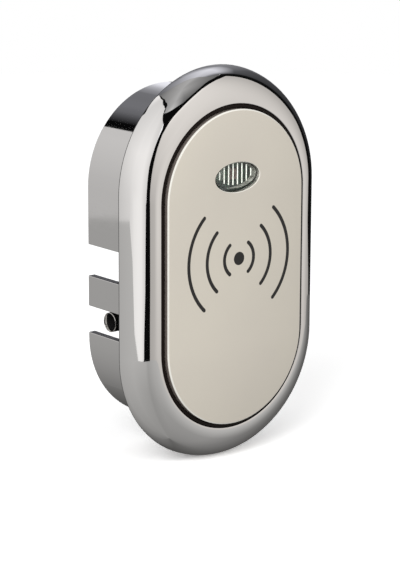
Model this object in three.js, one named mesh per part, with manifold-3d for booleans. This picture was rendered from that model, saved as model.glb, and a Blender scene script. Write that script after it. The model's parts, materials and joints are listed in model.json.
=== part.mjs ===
import * as THREE from 'three';
import { mergeVertices } from 'three/addons/utils/BufferGeometryUtils.js';
import Module from 'manifold-3d';

// Electronic cabinet lock, opened by a card or wristband held against its front plate.
// Millimetres: +X to the right seen from the front, +Y into the cabinet, +Z up.
// The origin is the middle of the bezel's back plane, which lies on the door.

// Clearances
const seatGap = 0.3;
const runningGap = 0.1;
const overrun = 1;

// Faceplate, a moulded tray
const faceplateWidth = 50.3;
const faceplateHeight = 92.8;
const faceplateStand = 1.3;
const faceplateThickness = 1.8;
const faceplateWall = 1.5;
const faceplateChamfer = 0.4;
const faceplateGap = 1.35;

// Housing, one zinc casting: bezel, skirt, ledge and screw bosses
const bezelWidth = 69.3;
const bezelHeight = 116;
const bezelDepth = 9.4;
const bezelLand = 1;
const flangeRim = 1.7;
const reliefInset = 1.5;
const reliefDepth = 3.2;
const skirtWidth = 56.2;
const skirtHeight = 100.6;
const skirtDepth = 22.9;
const skirtWall = 2.3;
const ledgeThickness = 3.5;
const ledgeReach = 1.6;
const lugRadius = 3.2;
const lugInset = 3.4;
const bossRadius = 3;
const bossWallOverlap = 0.4;
const bossAngle = 50;
const bossDepth = 9;

// Notches in the skirt's left wall, for the bolt and for the sleeve
const notchStart = 2;
const boltNotchHeight = 9.3;
const boltNotchRaise = 0.65;
const strapHeight = 9.1;
const sleeveNotchHeight = 7.9;

// Indicator window and lens
const windowWidth = 16.6;
const windowHeight = 8.7;
const windowRaise = 26.8;
const windowShift = 0.27;
const collarWall = 1.3;
const collarHeight = 1.5;
const lensSetback = 0.1;
const lensFlange = 0.8;
const lensFlangeReach = 1;
const fluteWidth = 0.8;
const flutePitch = 1.65;
const fluteHeight = 0.35;

// Gasket in the gap round the faceplate
const gasketFoot = 0.6;
const gasketLip = 3.5;
const gasketReach = 1.2;

// Circuit board and what is soldered to it
const boardThickness = 1.6;
const boardGap = 0.6;
const boardRoom = 2;
const postRadius = 2.2;
const postInset = 5.45;
const postRaise = 19;
const postDrop = 21;
const coilHeight = 44;
const coilBand = 2.2;
const coilThickness = 1;
const coilMargin = 4.15;
const ledSpacing = 4.4;
const ledBase = 2.8;
const ledBaseHeight = 0.55;
const ledDomeRadius = 1.1;
const ledDomeHeight = 0.4;
const ledGap = 0.1;
const chipHeight = 1.2;
const readerChipSize = 5;
const readerChipRaise = 12;
const controllerLength = 9.9;
const controllerWidth = 4;
const controllerX = 7;
const controllerDrop = 8;
const crystalLength = 4.6;
const crystalWidth = 2.2;
const crystalX = -6;
const buzzerRadius = 4.8;
const buzzerHeight = 4.3;
const buzzerHole = 1;
const buzzerGap = 0.7;
const connectorWidth = 6;
const connectorHeight = 4.6;
const connectorDepth = 4;
const connectorWall = 0.6;
const connectorX = 10;
const connectorGap = 0.7;

// Screws
const smallShank = 0.75;
const smallHead = 1.6;
const smallHeadHeight = 1.2;
const smallLength = 6;
const largeShank = 0.9;
const largeHead = 1.9;
const largeHeadHeight = 1.1;
const largeLength = 8;
const driveRadius = 0.75;
const driveDepth = 0.6;

// Chassis, the moulding that holds the cells and the drive
const chassisGap = 0.35;
const chassisFloor = 0.8;
const chassisFoot = 4.7;
const chassisWall = 1.5;
const chassisStandoff = 1.5;
const earThickness = 2;
const earRadius = 3;
const armWidth = 5;
const reliefFloor = 2.2;
const chamberWall = 2.3;
const motorWall = 1.65;
const bayWall = 1.45;

// Battery bay for four cells, two wide and two deep
const lidGap = 0.4;
const cellNub = 0.9;
const cellNubRadius = 1.9;
const cellRim = 0.4;
const cellGap = 0.2;
const rowGap = 0.3;
const contactThickness = 0.3;
const contactMargin = 1.45;
const springSpace = 2.4;
const springWire = 0.5;
const springTopRadius = 2;
const springFootRadius = 3.4;
const springTurns = 3;

// Rack and pinion: the bolt is pushed out by the pinion on the worm wheel
const rackModule = 0.8;
const pinionTeeth = 10;
const wheelModule = 0.6;
const wheelTeeth = 30;
const backlash = 0.1;
const rootShare = 1.25;
const rackPitchZ = -1;
const wheelWidth = 4;
const wheelRoom = 1.2;
const hubRadius = 3;
const hubHeight = 1;
const arborRadius = 1;
const arborSeat = 3.7;
const wormPitchRadius = 2.5;
const wormLength = 10;

// Bolt
const boltSideGap = 0.5;
const boltThickness = 5;
const boltTipInset = 0.8;
const boltTravel = 13;
const boltChamfer = 1.2;
const boltGuideGap = 0.25;
const rackLead = 0.4;
const rackRun = 3.5;
const flagLength = 4;
const flagThickness = 1;
const flagHeight = 3;
const gearPlateThickness = 0.8;
const gearPlateLobe = 7;
const plateScrewReach = 18.5;
const plateScrewMargin = 2.7;
const plateScrewRaise = 2.5;
const gearPlateGap = 0.7;

// Sensor that the flag slides into
const sensorGap = 0.7;
const sensorLength = 6;
const sensorInset = 1.3;
const sensorSlot = 2.4;
const sensorBase = 1.5;

// Motor with two flats
const motorWidth = 12;
const motorFlat = 1;
const motorRearGap = 0.2;
const motorLength = 13.5;
const motorCapLength = 1.5;
const motorCapInset = 0.3;
const motorSetback = 10.4;
const motorNoseRadius = 2;
const motorNose = 1;
const shaftRadius = 0.75;
const shaftDepth = 3;

// Sleeve for the side screw
const sleeveDiameter = 5.8;
const sleeveMouth = 4.7;
const sleeveBore = 3.3;
const sleeveMouthDepth = 3.5;
const sleeveInset = 6.8;
const sleeveStrapGap = 0.2;
const sleeveSeat = 0.8;
const sleeveBossWall = 1.4;
const sleeveBossShare = 0.44;

// Rear cover and battery lid
const coverThickness = 1.5;
const coverInset = 0.3;
const coverGap = 0.4;
const coverRib = 1.2;
const coverSplit = 0.3;
const coverBossRadius = 2.5;
const counterboreGap = 0.3;
const counterboreDepth = 0.75;
const latchCutInset = 0.3;
const latchCutDrop = 28.6;
const cornerScrewInset = 4.15;
const cornerScrewDrop = 7;
const footScrewInset = 4;
const footScrewDrop = 24;
const lidHingeInset = 1.2;
const lidHingeDepth = 0.75;
const lidBarrelRadius = 0.75;
const lidPinRadius = 0.5;
const lidEarRadius = 1;
const lidEarThickness = 1.5;
const lidHingeLength = 14.9;
const lidShoulder = 1.7;
const lidTongueLength = 7;
const lidTongueWidth = 6;
const lidTongueSlot = 0.7;
const lidTongueInset = 3;
const lidRidge = 0.9;
const lidRidgeHeight = 0.25;

// How finely round shapes are divided
const endSteps = 10;
const bezelSteps = 8;
const largeRound = 10;
const smallRound = 6;
const wormSteps = 10;
const springSteps = 8;
const wireSteps = 3;
const pressureAngle = 20;

// Places along Y, from the front of the faceplate to the back of the covers
const faceFront = -(bezelDepth + faceplateStand);
const faceBack = faceFront + faceplateThickness;
const lensFlangeFront = faceBack + collarHeight + runningGap;
const lensRear = lensFlangeFront + lensFlange;
const boardFront = lensRear + fluteHeight + ledGap + ledDomeHeight + ledBaseHeight;
const boardRear = boardFront + boardThickness;
const ledgeRear = boardRear + boardRoom;
const ledgeFront = ledgeRear - ledgeThickness;
const gasketRear = ledgeFront - seatGap;
const gasketFootFront = gasketRear - gasketFoot;
const chassisFront = ledgeRear + seatGap;
const coverRear = skirtDepth - coverInset;
const coverFront = coverRear - coverThickness;
const chassisRear = coverFront - chassisStandoff;

// Outlines that several pieces share
const apertureWidth = faceplateWidth + 2 * faceplateGap;
const apertureHeight = faceplateHeight + 2 * faceplateGap;
const skirtInnerWidth = skirtWidth - 2 * skirtWall;
const skirtInnerHeight = skirtHeight - 2 * skirtWall;
const skirtInnerX = skirtInnerWidth / 2;
const skirtEndZ = (skirtHeight - skirtWidth) / 2;
const seatWidth = Math.min(faceplateWidth, skirtInnerWidth);
const seatHeight = Math.min(faceplateHeight, skirtInnerHeight);
const ledgeHoleWidth = seatWidth - 2 * ledgeReach;
const ledgeHoleHeight = seatHeight - 2 * ledgeReach;
const bossReach = skirtInnerX + bossWallOverlap - bossRadius;
const bossX = bossReach * Math.cos(THREE.MathUtils.degToRad(bossAngle));
const bossZ = skirtEndZ + bossReach * Math.sin(THREE.MathUtils.degToRad(bossAngle));
const lugZ = seatHeight / 2 - lugInset;
const boltNotchTop = boltNotchRaise + boltNotchHeight / 2;
const strapTop = boltNotchTop - boltNotchHeight;
const sleeveNotchTop = strapTop - strapHeight;
const sleeveY = chassisRear - sleeveInset;
const sleeveZ = sleeveNotchTop - sleeveStrapGap - sleeveDiameter / 2;

// The board lies inside the ledge's hole and between its two lugs
const boardWidth = ledgeHoleWidth - 2 * boardGap;
const boardHeight = 2 * (lugZ - lugRadius - boardGap);
const postX = boardWidth / 2 - postInset;
const coilWidth = 2 * (postX - postRadius - seatGap);

// Places of the drive, from the chassis's right wall to the space for the door's latch
const chassisWidth = skirtInnerWidth - 2 * chassisGap;
const chassisHeight = skirtInnerHeight - 2 * chassisGap;
const motorEnd = chassisWidth / 2 - motorWall;
const motorX = motorEnd - seatGap - motorCapLength - runningGap - motorLength;
const gearX = motorX - motorSetback;
const pinionRadius = (rackModule * pinionTeeth) / 2;
const pinionTip = pinionRadius + rackModule;
const wheelRadius = (wheelModule * wheelTeeth) / 2;
const gearZ = rackPitchZ - pinionRadius;
const boltTop = boltNotchTop - boltSideGap;
const boltBottom = strapTop + boltSideGap;
const motorThickness = motorWidth - 2 * motorFlat;
const wormY = chassisRear - motorRearGap - motorThickness / 2;
const wheelFront = wormY - wheelWidth / 2;
const wheelRear = wheelFront + wheelWidth;
const hubRear = wheelRear + hubHeight;
const gearPlateRear = wheelFront - seatGap;
const gearPlateFront = gearPlateRear - gearPlateThickness;
const boltRear = gearPlateFront - seatGap;
const boltSetback = boltRear - boltThickness;
const boltTip = boltTipInset - skirtInnerX;
const rackStart = gearX - pinionTip - rackLead;
const rackEnd = gearX + boltTravel + rackRun;
const wormZ = gearZ - wheelRadius - wormPitchRadius;
const wormPitch = Math.PI * wheelModule;
const wormTip = wormPitchRadius + wheelModule;
const wheelTip = wheelRadius + wheelModule;
const chamberLeft = gearX - wheelTip - 2 * seatGap;
const chassisLeft = chamberLeft - chamberWall;
const latchSpace = chassisLeft + skirtInnerX;
const chamberTop = gearZ + wheelTip + wheelRoom;
const chassisBottom = wormZ - motorWidth / 2 - seatGap - chassisFoot;

// Places of the cells
const bayFloor = chassisFront + chassisFloor;
const bayRaise = chamberTop + chassisWall;
const cellDiameter = (coverFront - lidGap - bayFloor - seatGap - cellGap) / 2;
const cellRadius = cellDiameter / 2;
const contactWidth = cellDiameter - 2 * contactMargin;
const layerY = [0, 1].map((layer) => bayFloor + seatGap + cellRadius + layer * (cellDiameter + cellGap));
const rowZ = [0, 1].map((row) => bayRaise + seatGap + cellRadius + row * (cellDiameter + rowGap));
const bayTop = rowZ[1] + cellRadius + seatGap;
const bayHalf = chassisWidth / 2 - bayWall;
const contactX = bayHalf - runningGap - contactThickness;
const cellLength = 2 * contactX - seatGap - springSpace;
const chassisTop = bayTop + chassisWall;
const splitZ = bayRaise - coverSplit / 2 - runningGap;

const wasm = await Module();
wasm.setup();

// A closed geometry as a solid: shared corners merged, slivers dropped, faces turned outward
function solid(geometry) {
  const bare = geometry.clone();
  bare.deleteAttribute('normal');
  bare.deleteAttribute('uv');
  const merged = mergeVertices(bare);
  const index = merged.index.array;
  const corner = (place) => new THREE.Vector3().fromBufferAttribute(merged.attributes.position, place);
  const triangles = [];
  let volume = 0;
  for (let i = 0; i < index.length; i += 3) {
    const [a, b, c] = [index[i], index[i + 1], index[i + 2]];
    if (a !== b && b !== c && c !== a) {
      triangles.push([a, b, c]);
      volume += corner(a).dot(corner(b).cross(corner(c)));
    }
  }
  const turned = volume < 0 ? triangles.map(([a, b, c]) => [a, c, b]) : triangles;
  return new wasm.Manifold(new wasm.Mesh({
    numProp: 3,
    vertProperties: merged.attributes.position.array,
    triVerts: Uint32Array.from(turned.flat()),
  }));
}

// An outline pushed along an axis, from one place on it to another
function pushed(outline, across, up, along, start, end, steps) {
  const geometry = new THREE.ExtrudeGeometry(outline, {
    depth: end - start,
    bevelEnabled: false,
    curveSegments: steps,
  });
  geometry.applyMatrix4(new THREE.Matrix4().makeBasis(across, up, along));
  const offset = along.clone().multiplyScalar(start);
  geometry.translate(offset.x, offset.y, offset.z);
  return solid(geometry);
}

const right = new THREE.Vector3(1, 0, 0);
const back = new THREE.Vector3(0, 1, 0);
const front = new THREE.Vector3(0, -1, 0);
const top = new THREE.Vector3(0, 0, 1);

// A plate whose outline is seen from the front, between two places along Y
function plate(outline, yFront, yRear, steps = endSteps) {
  return pushed(outline, right, top, front, -yRear, -yFront, steps);
}

// A bar whose outline (y, z) is pushed along X
function bar(outline, xLeft, xRight, steps = largeRound) {
  return pushed(outline, back, top, right, xLeft, xRight, steps);
}

// A column whose outline (x, y) is pushed along Z
function column(outline, zBottom, zTop, steps = smallRound) {
  return pushed(outline, right, back, top, zBottom, zTop, steps);
}

// Outlines
function stadium(width, height) {
  const radius = width / 2;
  const straight = height / 2 - radius;
  const outline = new THREE.Shape();
  outline.absarc(0, straight, radius, 0, Math.PI);
  outline.absarc(0, -straight, radius, Math.PI, 2 * Math.PI);
  outline.closePath();
  return outline;
}

function circle(x, z, radius) {
  return new THREE.Shape().absarc(x, z, radius, 0, 2 * Math.PI);
}

function oval(x, z, width, height) {
  return new THREE.Shape().absellipse(x, z, width / 2, height / 2, 0, 2 * Math.PI);
}

function rectangle(left, rightEdge, bottom, topEdge) {
  return new THREE.Shape([
    new THREE.Vector2(left, bottom),
    new THREE.Vector2(rightEdge, bottom),
    new THREE.Vector2(rightEdge, topEdge),
    new THREE.Vector2(left, topEdge),
  ]);
}

function block(left, rightEdge, yFront, yRear, bottom, topEdge) {
  return plate(rectangle(left, rightEdge, bottom, topEdge), yFront, yRear);
}

function disc(x, z, radius, yFront, yRear, steps = largeRound) {
  return plate(circle(x, z, radius), yFront, yRear, steps);
}

function stadiumPlate(width, height, yFront, yRear) {
  return plate(stadium(width, height), yFront, yRear);
}

// Loops of equally many corners joined into one body, with a fan over each end
function loft(loops) {
  const count = loops[0].length;
  const triangles = [];
  for (let ring = 0; ring + 1 < loops.length; ring += 1) {
    for (let i = 0; i < count; i += 1) {
      const next = (i + 1) % count;
      const [a, b] = [ring * count + i, ring * count + next];
      triangles.push(a, b, b + count, a, b + count, a + count);
    }
  }
  const last = (loops.length - 1) * count;
  for (let i = 1; i + 1 < count; i += 1) {
    triangles.push(0, i + 1, i, last, last + i, last + i + 1);
  }
  const geometry = new THREE.BufferGeometry().setFromPoints(loops.flat());
  geometry.setIndex(triangles);
  return solid(geometry);
}

function stadiumLoft(sections) {
  return loft(sections.map(({ width, height, y }) => stadium(width, height)
    .getPoints(endSteps)
    .slice(0, -1)
    .map((point) => new THREE.Vector3(point.x, y, point.y))));
}

// A profile of (radius, y) turned about an axis along Y
function turned(profile, x, z, sides) {
  const points = profile.map(([radius, y]) => new THREE.Vector2(radius, y));
  const geometry = new THREE.LatheGeometry(points, sides);
  geometry.translate(x, 0, z);
  return solid(geometry);
}

// A screw along Y with its head towards the back, and a socket in the head
function screw(x, z, headFront, shank, head, headHeight, length) {
  const headRear = headFront + headHeight;
  return turned([
    [0, headFront - length],
    [shank, headFront - length],
    [shank, headFront],
    [head, headFront],
    [head, headRear],
    [driveRadius, headRear],
    [driveRadius, headRear - driveDepth],
    [0, headRear - driveDepth],
  ], x, z, largeRound);
}

// A hole that a screw's thread bites in, and one that it passes through
const pilot = (shank) => shank + runningGap;

function screwHole(x, z, yFront, yRear) {
  return disc(x, z, pilot(smallShank) + runningGap, yFront - overrun, yRear + overrun, smallRound);
}

const group = new THREE.Group();
group.name = 'electronic_cabinet_lock';

// Finishes
const finish = (color, roughness, metalness) => ({ color, roughness, metalness });
const chrome = finish(0xd9d9dc, 0.06, 1);
const ivory = finish(0xd6d0c2, 0.35, 0);
const blackRubber = finish(0x1c1210, 0.8, 0);
const clearPlastic = finish(0x9fa89c, 0.1, 0);
const nickel = finish(0xb9b9b4, 0.2, 1);
const copper = finish(0xb4693a, 0.35, 1);
const boardGreen = finish(0x1f5a37, 0.5, 0);
const epoxyBlack = finish(0x17181a, 0.5, 0);
const mouldedBlack = finish(0x222326, 0.55, 0);
const acetalWhite = finish(0xe6e2d8, 0.45, 0);
const steel = finish(0xa8a9ab, 0.3, 1);
const brass = finish(0xc2a25a, 0.3, 1);
const connectorWhite = finish(0xe9e5da, 0.5, 0);
const cellSleeve = finish(0x2f5f8a, 0.35, 0.2);
const lampGreen = finish(0x8fd39a, 0.2, 0);
const lampRed = finish(0xd98a80, 0.2, 0);

// A solid as a named mesh with its own material
function add(name, body, look) {
  const { vertProperties, triVerts } = body.getMesh();
  const geometry = new THREE.BufferGeometry();
  geometry.setAttribute('position', new THREE.BufferAttribute(vertProperties, 3));
  geometry.setIndex(new THREE.BufferAttribute(triVerts, 1));
  geometry.computeVertexNormals();
  const mesh = new THREE.Mesh(geometry, new THREE.MeshStandardMaterial(look));
  mesh.name = name;
  group.add(mesh);
}

// Bezel: a quarter ellipse from the door face up to its crest, the same all round
function makeBezel() {
  const crestWidth = apertureWidth + 2 * bezelLand;
  const crestHeight = apertureHeight + 2 * bezelLand;
  const sections = [];
  for (let step = 0; step <= bezelSteps; step += 1) {
    const turn = (step / bezelSteps) * (Math.PI / 2);
    sections.push({
      width: crestWidth + (bezelWidth - crestWidth) * Math.cos(turn),
      height: crestHeight + (bezelHeight - crestHeight) * Math.cos(turn),
      y: -bezelDepth * Math.sin(turn),
    });
  }
  const root = [skirtWidth + 2 * reliefInset, skirtHeight + 2 * reliefInset];
  const kept = stadiumPlate(...root, -bezelDepth, 2 * overrun);
  return stadiumLoft(sections)
    .subtract(stadiumPlate(bezelWidth - 2 * flangeRim, bezelHeight - 2 * flangeRim, -reliefDepth, overrun)
      .subtract(kept));
}

// The upper two bosses carry the chassis's ears, and the lower two the rear cover
const upperBossRear = chassisRear - earThickness - seatGap;
const bossPlaces = [
  { x: -bossX, z: bossZ, rear: upperBossRear },
  { x: bossX, z: bossZ, rear: upperBossRear },
  { x: -bossX, z: -bossZ, rear: coverFront - seatGap },
  { x: bossX, z: -bossZ, rear: coverFront - seatGap },
];
const [leftEar, rightEar, leftFoot, rightFoot] = bossPlaces;

function makeHousing() {
  let body = makeBezel()
    .add(stadiumPlate(skirtWidth, skirtHeight, ledgeRear, skirtDepth))
    .subtract(stadiumPlate(skirtInnerWidth, skirtInnerHeight, ledgeRear, skirtDepth + overrun))
    .subtract(stadiumPlate(apertureWidth, apertureHeight, -bezelDepth - overrun, ledgeFront))
    .subtract(stadiumPlate(ledgeHoleWidth, ledgeHoleHeight, ledgeFront - overrun, ledgeRear + overrun));
  const wallReach = stadiumPlate(skirtWidth - skirtWall, skirtHeight - skirtWall, ledgeFront, skirtDepth);
  for (const side of [-1, 1]) {
    const lug = block(-lugRadius, lugRadius, ledgeFront, ledgeRear, 0, lugRadius + lugInset)
      .add(disc(0, 0, lugRadius, ledgeFront, ledgeRear))
      .scale([1, 1, side])
      .translate([0, 0, side * lugZ]);
    body = body.add(lug.intersect(wallReach)).subtract(screwHole(0, side * lugZ, ledgeFront, ledgeRear));
  }
  for (const { x, z, rear } of bossPlaces) {
    body = body
      .add(disc(x, z, bossRadius, ledgeRear, rear).intersect(wallReach))
      .subtract(disc(x, z, pilot(largeShank), rear - bossDepth, rear + overrun, smallRound));
  }
  const notch = (bottom, topEdge) => block(
    -skirtWidth,
    overrun - skirtInnerX,
    notchStart,
    skirtDepth + overrun,
    bottom,
    topEdge,
  );
  return body
    .subtract(notch(strapTop, boltNotchTop))
    .subtract(notch(sleeveNotchTop - sleeveNotchHeight, sleeveNotchTop));
}

// Faceplate: chamfered front, wall round the back, window with its collar, posts for the screws
const postPlaces = [
  { x: -postX, z: postRaise },
  { x: postX, z: postRaise },
  { x: -postX, z: -postDrop },
  { x: postX, z: -postDrop },
];

function makeFaceplate() {
  const wallEnd = gasketFootFront - seatGap;
  const innerWidth = faceplateWidth - 2 * faceplateWall;
  const innerHeight = faceplateHeight - 2 * faceplateWall;
  const faceWidth = faceplateWidth - 2 * faceplateChamfer;
  const faceHeight = faceplateHeight - 2 * faceplateChamfer;
  let body = stadiumLoft([
    { width: faceWidth, height: faceHeight, y: faceFront },
    { width: faceplateWidth, height: faceplateHeight, y: faceFront + faceplateChamfer },
    { width: faceplateWidth, height: faceplateHeight, y: wallEnd },
  ]).subtract(stadiumPlate(innerWidth, innerHeight, faceBack, wallEnd + overrun));
  const collarWidth = windowWidth + 2 * collarWall;
  const collarTall = windowHeight + 2 * collarWall;
  body = body
    .add(plate(oval(windowShift, windowRaise, collarWidth, collarTall), faceBack, faceBack + collarHeight))
    .subtract(plate(oval(windowShift, windowRaise, windowWidth, windowHeight),
      faceFront - overrun, faceBack + collarHeight + overrun));
  const postEnd = boardFront - seatGap;
  for (const { x, z } of postPlaces) {
    body = body
      .add(disc(x, z, postRadius, faceBack, postEnd, smallRound))
      .subtract(disc(x, z, pilot(smallShank), faceBack, postEnd + overrun, smallRound));
  }
  const wallMiddle = [faceplateWidth - faceplateWall, faceplateHeight - faceplateWall];
  const insideWall = stadiumPlate(...wallMiddle, faceBack, gasketRear);
  for (const side of [-1, 1]) {
    body = body
      .add(disc(0, side * lugZ, postRadius, faceBack, wallEnd, smallRound).intersect(insideWall))
      .subtract(disc(0, side * lugZ, pilot(smallShank), faceBack, wallEnd + overrun, smallRound));
  }
  return body;
}

// Gasket: a lip that stands in the gap and a foot under the faceplate's wall
function makeGasket() {
  const outerWidth = apertureWidth - 2 * runningGap;
  const outerHeight = apertureHeight - 2 * runningGap;
  const lipFront = gasketFootFront - gasketLip;
  const lipInside = [faceplateWidth + 2 * runningGap, faceplateHeight + 2 * runningGap];
  const footInside = [faceplateWidth - 2 * gasketReach, faceplateHeight - 2 * gasketReach];
  return stadiumPlate(outerWidth, outerHeight, lipFront, gasketRear)
    .subtract(stadiumPlate(...lipInside, lipFront - overrun, gasketFootFront))
    .subtract(stadiumPlate(...footInside, gasketFootFront - overrun, gasketRear + overrun));
}

// Lens: an oval plug with a flange behind the collar and upright flutes on its back
function makeLens() {
  const flangeWidth = windowWidth + 2 * lensFlangeReach;
  const flangeTall = windowHeight + 2 * lensFlangeReach;
  const plugWidth = windowWidth - 2 * runningGap;
  const plugTall = windowHeight - 2 * runningGap;
  const middleOval = (width, height) => oval(windowShift, windowRaise, width, height);
  let body = plate(middleOval(plugWidth, plugTall), faceFront + lensSetback, lensFlangeFront + lensFlange / 2)
    .add(plate(middleOval(flangeWidth, flangeTall), lensFlangeFront, lensRear));
  const reach = plate(middleOval(windowWidth, windowHeight), lensRear - overrun, lensRear + overrun);
  const flutes = Math.floor(windowWidth / 2 / flutePitch);
  for (let flute = -flutes; flute <= flutes; flute += 1) {
    const x = windowShift + flute * flutePitch;
    const [left, rightEdge] = [x - fluteWidth / 2, x + fluteWidth / 2];
    const [bottom, topEdge] = [windowRaise - windowHeight, windowRaise + windowHeight];
    body = body.add(block(left, rightEdge, lensRear - lensFlange / 2, lensRear + fluteHeight, bottom, topEdge)
      .intersect(reach));
  }
  return body;
}

// Board side
function makeCoil() {
  const coilFront = faceBack + seatGap;
  const coilRear = coilFront + coilThickness;
  const coilTop = windowRaise - windowHeight / 2 - collarWall - coilMargin;
  const inside = [coilWidth - 2 * coilBand, coilHeight - 2 * coilBand];
  return stadiumPlate(coilWidth, coilHeight, coilFront, coilRear)
    .subtract(stadiumPlate(...inside, coilFront - overrun, coilRear + overrun))
    .translate([0, 0, coilTop - coilHeight / 2]);
}

function makeBoard() {
  let body = stadiumPlate(boardWidth, boardHeight, boardFront, boardRear);
  for (const { x, z } of postPlaces) body = body.subtract(screwHole(x, z, boardFront, boardRear));
  return body;
}

function makeLed(side) {
  const x = windowShift + (side * ledSpacing) / 2;
  const baseFront = boardFront - ledBaseHeight;
  return block(x - ledBase / 2, x + ledBase / 2, baseFront, boardFront,
    windowRaise - ledBase / 2, windowRaise + ledBase / 2)
    .add(turned([
      [0, baseFront + ledBaseHeight / 2],
      [ledDomeRadius, baseFront + ledBaseHeight / 2],
      [ledDomeRadius, baseFront],
      [ledDomeRadius / 2, baseFront - ledDomeHeight],
      [0, baseFront - ledDomeHeight],
    ], x, windowRaise, largeRound));
}

function makeChip(x, z, width, height) {
  const rear = boardRear + chipHeight;
  return block(x - width / 2, x + width / 2, boardRear, rear, z - height / 2, z + height / 2);
}

function makeCrystal() {
  const outline = stadium(crystalWidth, crystalLength);
  return plate(outline, boardRear, boardRear + chipHeight, smallRound)
    .rotate([0, 90, 0])
    .translate([crystalX, 0, -controllerDrop]);
}

function makeBuzzer() {
  const rear = boardRear + buzzerHeight;
  return turned([
    [0, boardRear],
    [buzzerRadius, boardRear],
    [buzzerRadius, rear],
    [buzzerHole, rear],
    [buzzerHole, rear - buzzerHeight / 2],
    [0, rear - buzzerHeight / 2],
  ], 0, chassisBottom - buzzerGap - buzzerRadius, 2 * largeRound);
}

function makeConnector(side) {
  const x = side * connectorX;
  const z = chassisBottom - connectorGap - connectorHeight / 2;
  const rear = boardRear + connectorDepth;
  const shell = (inset, yFront, yRear) => {
    const [halfWidth, halfHeight] = [connectorWidth / 2 - inset, connectorHeight / 2 - inset];
    return block(x - halfWidth, x + halfWidth, yFront, yRear, z - halfHeight, z + halfHeight);
  };
  return shell(0, boardRear, rear).subtract(shell(connectorWall, boardRear + connectorWall, rear + overrun));
}

// Teeth: an involute flank by formula, as the half angle that a tooth covers at a radius
const flank = THREE.MathUtils.degToRad(pressureAngle);
const involute = (angle) => Math.tan(angle) - angle;

function gearOutline(teeth, size, firstTooth) {
  const pitch = (size * teeth) / 2;
  const base = pitch * Math.cos(flank);
  const root = pitch - size * rootShare;
  const halfAngle = (radius) => {
    const slope = Math.acos(Math.min(1, base / radius));
    return Math.PI / (2 * teeth) + involute(flank) - involute(slope) - backlash / 2 / pitch;
  };
  const at = (radius, angle) => new THREE.Vector2(radius * Math.cos(angle), radius * Math.sin(angle));
  const points = [];
  for (let tooth = 0; tooth < teeth; tooth += 1) {
    const middle = firstTooth + (tooth * 2 * Math.PI) / teeth;
    const radii = [root, pitch, pitch + size];
    for (const radius of radii) points.push(at(radius, middle - halfAngle(radius)));
    for (const radius of radii.toReversed()) points.push(at(radius, middle + halfAngle(radius)));
  }
  return new THREE.Shape(points);
}

function makeDriveWheel() {
  const pinionOutline = gearOutline(pinionTeeth, rackModule, Math.PI / 2);
  const pinion = plate(pinionOutline, boltSetback, wheelFront + wheelWidth / 2);
  const wheel = plate(gearOutline(wheelTeeth, wheelModule, -Math.PI / 2), wheelFront, wheelRear);
  const hub = disc(0, 0, hubRadius, wheelRear - wheelWidth / 2, hubRear);
  return pinion.add(wheel).add(hub)
    .subtract(disc(0, 0, arborRadius + runningGap, boltSetback - overrun, hubRear + overrun))
    .translate([gearX, 0, gearZ]);
}

// Worm: a trapezoid thread swept along a right-handed helix, on its core
function makeWorm() {
  const turns = Math.floor(wormLength / wormPitch) - 1;
  const rootRadius = wormPitchRadius - rootShare * wheelModule;
  const sunk = rootRadius - wheelModule / 2;
  const halfAt = (radius) => wormPitch / 4 - backlash / 2 - (radius - wormPitchRadius) * Math.tan(flank);
  const loops = [];
  const total = turns * wormSteps;
  for (let step = 0; step <= total; step += 1) {
    const angle = ((step - total / 2) / wormSteps) * 2 * Math.PI;
    const middle = (angle / (2 * Math.PI)) * wormPitch + wormPitch / 4;
    const [cosine, sine] = [Math.cos(angle), Math.sin(angle)];
    const at = (radius, shift) => new THREE.Vector3(middle + shift, radius * cosine, radius * sine);
    loops.push([
      at(sunk, -halfAt(rootRadius)),
      at(rootRadius, -halfAt(rootRadius)),
      at(wormTip, -halfAt(wormTip)),
      at(wormTip, halfAt(wormTip)),
      at(rootRadius, halfAt(rootRadius)),
      at(sunk, halfAt(rootRadius)),
    ]);
  }
  const core = bar(circle(0, 0, rootRadius), -wormLength / 2, wormLength / 2, largeRound);
  const bore = bar(circle(0, 0, shaftRadius + runningGap), -wormLength, wormLength, smallRound);
  return core.add(loft(loops)).subtract(bore).translate([gearX, wormY, wormZ]);
}

function makeMotorShaft() {
  const left = chamberLeft + 2 * seatGap;
  return bar(circle(wormY, wormZ, shaftRadius), left, motorX + shaftDepth - seatGap, smallRound);
}

function motorOutline(inset) {
  const radius = motorWidth / 2 - inset;
  const half = motorThickness / 2 - inset;
  const corner = Math.acos(half / radius);
  const outline = new THREE.Shape();
  outline.absarc(wormY, wormZ, radius, corner, Math.PI - corner);
  outline.absarc(wormY, wormZ, radius, Math.PI + corner, 2 * Math.PI - corner);
  outline.closePath();
  return outline;
}

function makeMotorCan() {
  const shaftHole = circle(wormY, wormZ, shaftRadius + runningGap);
  return bar(motorOutline(0), motorX, motorX + motorLength)
    .add(bar(circle(wormY, wormZ, motorNoseRadius), motorX - motorNose, motorX + motorNose))
    .subtract(bar(shaftHole, motorX - 2 * motorNose, motorX + shaftDepth, smallRound));
}

function makeMotorCap() {
  const start = motorX + motorLength + runningGap;
  return bar(motorOutline(motorCapInset), start, start + motorCapLength);
}

// Bolt: head with a chamfered nose, then the tail with the rack on its lower edge and the sensor's flag
const rackTooth = rackModule * Math.PI;

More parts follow.
